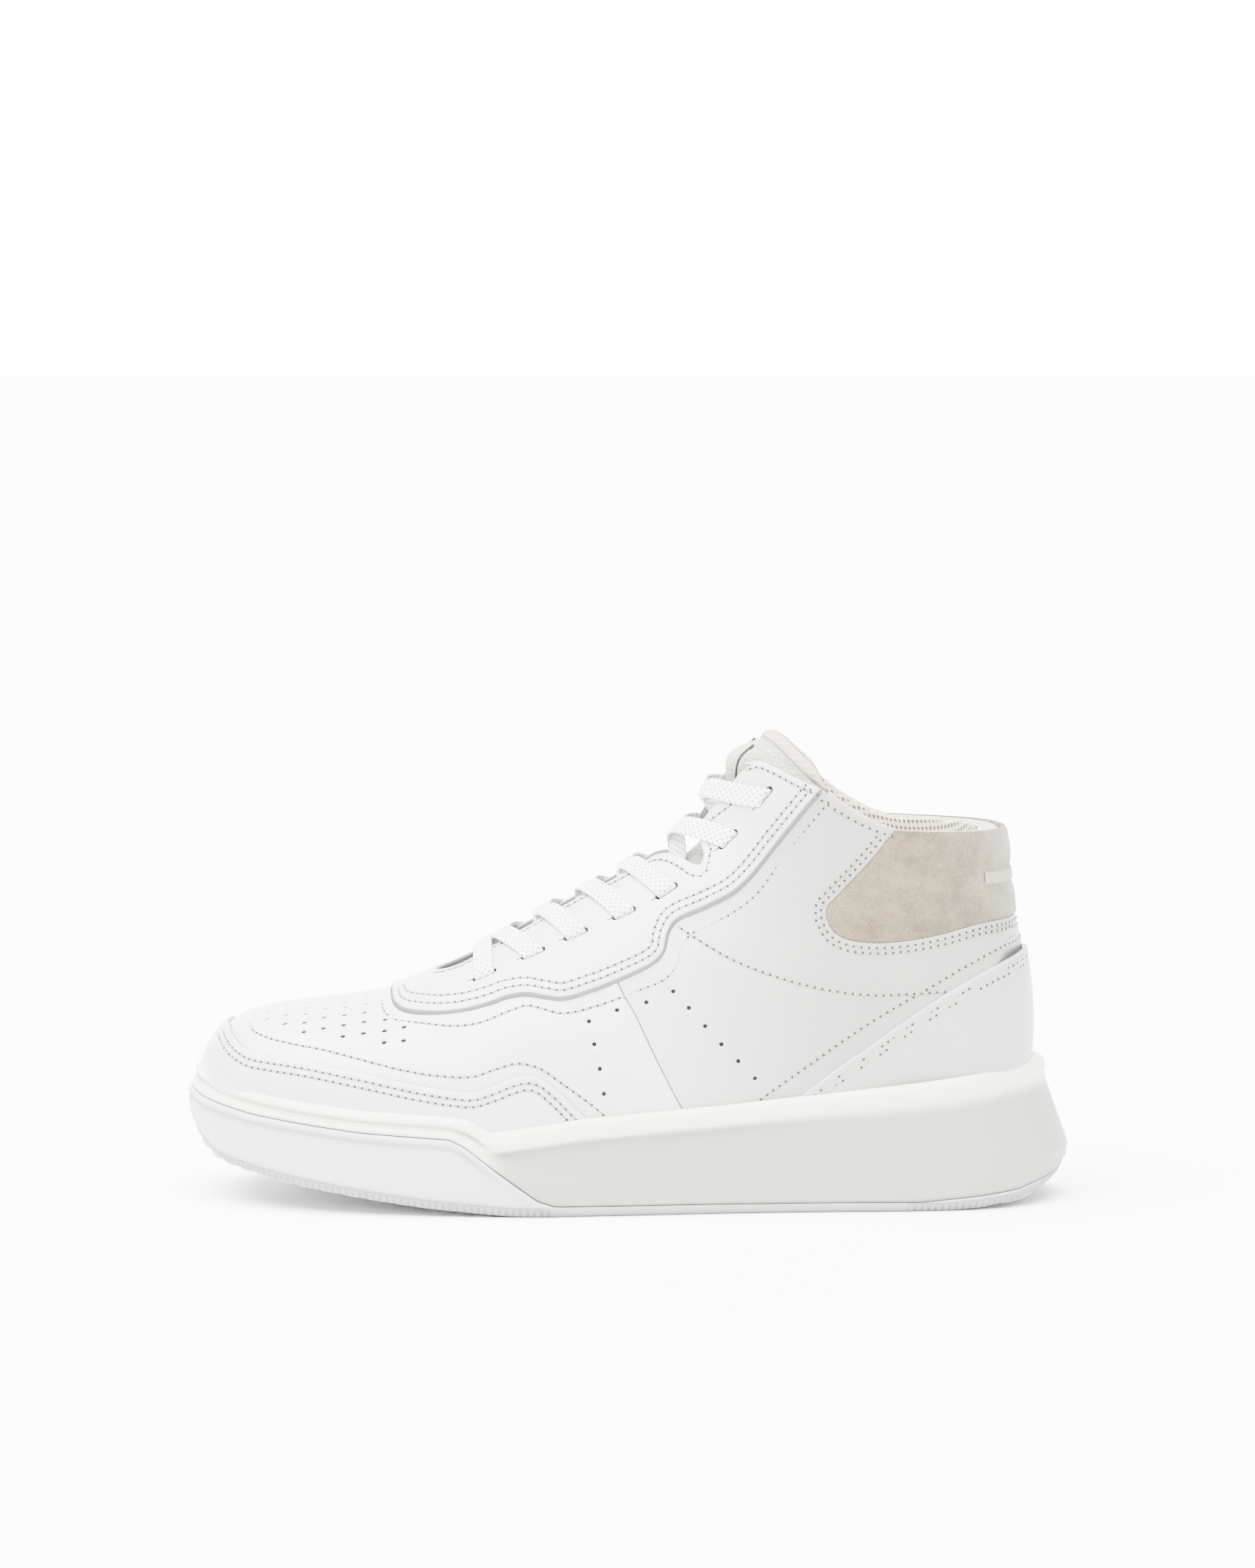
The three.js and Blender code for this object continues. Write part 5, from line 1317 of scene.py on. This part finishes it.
print("lace")
cotton, cottonTree, cottonShader = newMaterial("flat woven cotton lace", "#c8c7c5", 0.85)
flatUv = addNode(cottonTree, "ShaderNodeUVMap", dict(uv_map="flat"))
left = addNode(cottonTree, "ShaderNodeTexWave", dict(wave_type="BANDS", bands_direction="DIAGONAL"),
               Vector=(flatUv, "UV"), Scale=260.0)
flip = addNode(cottonTree, "ShaderNodeMapping", None, Vector=(flatUv, "UV"), Scale=(1, -1, 1))
right = addNode(cottonTree, "ShaderNodeTexWave", dict(wave_type="BANDS", bands_direction="DIAGONAL"),
                Vector=(flip, "Vector"), Scale=260.0)
weave = addNode(cottonTree, "ShaderNodeMath", dict(operation="MAXIMUM"), i0=(left, "Fac"), i1=(right, "Fac"))
bump(cottonTree, cottonShader, (weave, "Value"), 0.0004)
# Darker where the weave is low: painted shade in its hollows.
tone = ramp(cottonTree, (weave, "Value"), [(0.2, "#a9a8a6"), (0.75, "#e8e7e5")])
cottonTree.links.new(tone.outputs["Color"], cottonShader.inputs["Base Color"])

lacePiece = dict(width=7.2, thickness=1.0, under=-5.55, sag=3.6, crossing=0.8, agletRadius=1.4)
strand = [(0.03, lacePiece["under"]), (0.14, lacePiece["under"]), (0.24, -5.3), (0.33, -4.4),
          (0.41, -1.8), (0.5, 1.2), (0.58, 2.6), (0.66, 2.9), (0.76, 2.6), (0.87, 2.3), (0.955, 2.1)]


def laceStops(shares, a, b, crossing):
    stops = []
    middle = (a[0][0] + b[0][0]) / 2
    sag = lacePiece["sag"] / np.linalg.norm(lastPoint(middle + 0.5, 0) - lastPoint(middle - 0.5, 0))
    for share, lifted in shares:
        place, ahead = ((a[0] + (b[0] - a[0]) * s - [sag * 4 * s * (1 - s) * (crossing != 0), 0])
                        for s in (share, share + 0.02))
        lifted += crossing * math.exp(-((share - 0.5) / 0.09) ** 2)
        point = lastPoint(*place) + lastNormal(*place) * lifted
        along = lastPoint(*ahead) - lastPoint(*place)
        stops.append((point, np.cross(lastNormal(*place), along)))
    inside = lastPoint(*b[0])
    out = lastNormal(*b[0])
    return stops + [(inside + out * level, b[1]) for level in (0.6, -1.2, -3.0, -4.6)]


def laceHalf(side):
    stops = laceStops([(0.5, 2.6), (0.62, 2.6), (0.74, 2.3), (0.86, 2.25), (0.95, 2.1)], eyelet(6, -side),
                      eyelet(6, side), 0)
    start = side
    for k in range(5, -1, -1):
        over = lacePiece["crossing"] * (1 if (k % 2) == (start > 0) else -1)
        stops += laceStops(strand, eyelet(k + 1, start), eyelet(k, -start), over)
        start = -start
    tail = onSide([(48.3, 137.8), (51, 134.5), (54, 129), (57, 118), (58, 104), (58.5, 90), (58.5, 85)], start)
    for place, ahead in zip(tail, tail[1:]):
        normal = lastNormal(*place)
        along = lastPoint(*ahead) - lastPoint(*place)
        stops.append((lastPoint(*place) + normal * (lacePiece["under"] - 0.2), np.cross(normal, along)))
    return stops


stops = laceHalf(-1)[::-1] + laceHalf(1)[1:]
points, acrosses = [], []
for point, across in stops:
    across = across / np.linalg.norm(across)
    if acrosses and np.dot(across, acrosses[-1]) < 0:
        across = -across
    points.append(point)
    acrosses.append(across)
path = smoothLine(np.hstack([points, np.array(acrosses) * 0.5]), 0.8)
centre, across = path[:, :3], path[:, 3:]
section = []
for turn in np.linspace(0, 2 * pi, 16, endpoint=False):
    c, s = math.cos(turn), math.sin(turn)
    section.append((math.copysign(abs(c) ** 0.3, c) * lacePiece["width"] / 2,
                    math.copysign(abs(s) ** 0.7, s) * lacePiece["thickness"] / 2))
section = np.array(section)
along = np.gradient(centre, axis=0)
along /= np.linalg.norm(along, axis=1, keepdims=True)
across -= along * np.sum(across * along, 1, keepdims=True)
across /= np.linalg.norm(across, axis=1, keepdims=True)
up = np.cross(along, across)
ribbon = centre[:, None] + section[None, :, :1] * across[:, None] + section[None, :, 1:] * up[:, None]
laceLength = np.sum(np.linalg.norm(np.diff(centre, axis=0), axis=1)) * mm
print("lace length", round(laceLength, 3), "m")
lace = ringMesh("lace", (ribbon + drawingShift) * mm, [cotton])
faceOut(lace)
keep(lace, "shoe", "lace_cotton", "lace")

aglet, _, _ = newMaterial("clear aglet plastic", "#e4e3e0", 0.2)
for side, name in ((-1, "aglet_lateral"), (1, "aglet_medial")):
    run = onSide(np.stack([np.full(20, 58.5), np.linspace(84.5, 66, 20)], -1), side)
    radii = np.where(np.arange(20) > 17, 1.0, lacePiece["agletRadius"])
    keep(roll(name, run, np.full(20, -6.5), radii, aglet, 12), "shoe", "aglet_plastic", name)

for name in ("insole_board", "toe_puff", "heel_counter", "eyestay_backing_lateral", "eyestay_backing_medial"):
    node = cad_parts[name]
    node.data.materials.clear()
    node.data.materials.append(board)


print("floor, light and camera")
floorPaint = newMaterial("white sweep", "#fdfdfd", 0.9)[0]
bpy.ops.object.select_all(action="DESELECT")
bpy.ops.mesh.primitive_plane_add(size=60, location=(0, 0, 0))
floor = bpy.context.object
floor.name = "floor"
floor.data.materials.append(floorPaint)

# A dim room with one bright wall behind the shoe.
world = bpy.context.scene.world or bpy.data.worlds.new("world")
bpy.context.scene.world = world
world.use_nodes = True
roomTree = world.node_tree
background = roomTree.nodes.get("Background") or roomTree.nodes.new("ShaderNodeBackground")
background.inputs["Color"].default_value = (1.0, 1.0, 1.0, 1.0)
direction = addNode(roomTree, "ShaderNodeTexCoord")
axes = addNode(roomTree, "ShaderNodeSeparateXYZ", None, Vector=(direction, "Generated"))
wall = addNode(roomTree, "ShaderNodeMapRange", dict(interpolation_type="SMOOTHSTEP"), Value=(axes, "Y"))
for key, value in (("From Min", 0.7), ("From Max", 0.95), ("To Min", 2.2), ("To Max", 15.0)):
    wall.inputs[key].default_value = value
roomTree.links.new(wall.outputs["Result"], background.inputs["Strength"])


def addLight(name, kind, place, aim, power, **more):
    data = bpy.data.lights.new(name, kind)
    data.energy = power
    for key, value in more.items():
        setattr(data, key, value)
    obj = bpy.data.objects.new(name, data)
    bpy.context.scene.collection.objects.link(obj)
    obj.location = place
    obj.rotation_euler = (Vector(aim) - Vector(place)).to_track_quat("-Z", "Y").to_euler()
    return obj


stageSet = dict(sun=34, sunAngle=70, sunPlace=(-0.5, -0.6, 2.6), cameraPlace=(0, -1.9, 0.30),
                cameraAim=(0, 0, 0.1422), lens=127)
addLight("overhead softbox", "SUN", stageSet["sunPlace"], (0, 0, 0), stageSet["sun"],
         angle=math.radians(stageSet["sunAngle"]))

data = bpy.data.cameras.new("camera")
camera = bpy.data.objects.new("camera", data)
bpy.context.scene.collection.objects.link(camera)
camera.location = stageSet["cameraPlace"]
view = Vector(stageSet["cameraAim"]) - Vector(stageSet["cameraPlace"])
camera.rotation_euler = view.to_track_quat("-Z", "Y").to_euler()
data.lens = stageSet["lens"]
data.sensor_width = 36
bpy.context.scene.camera = camera
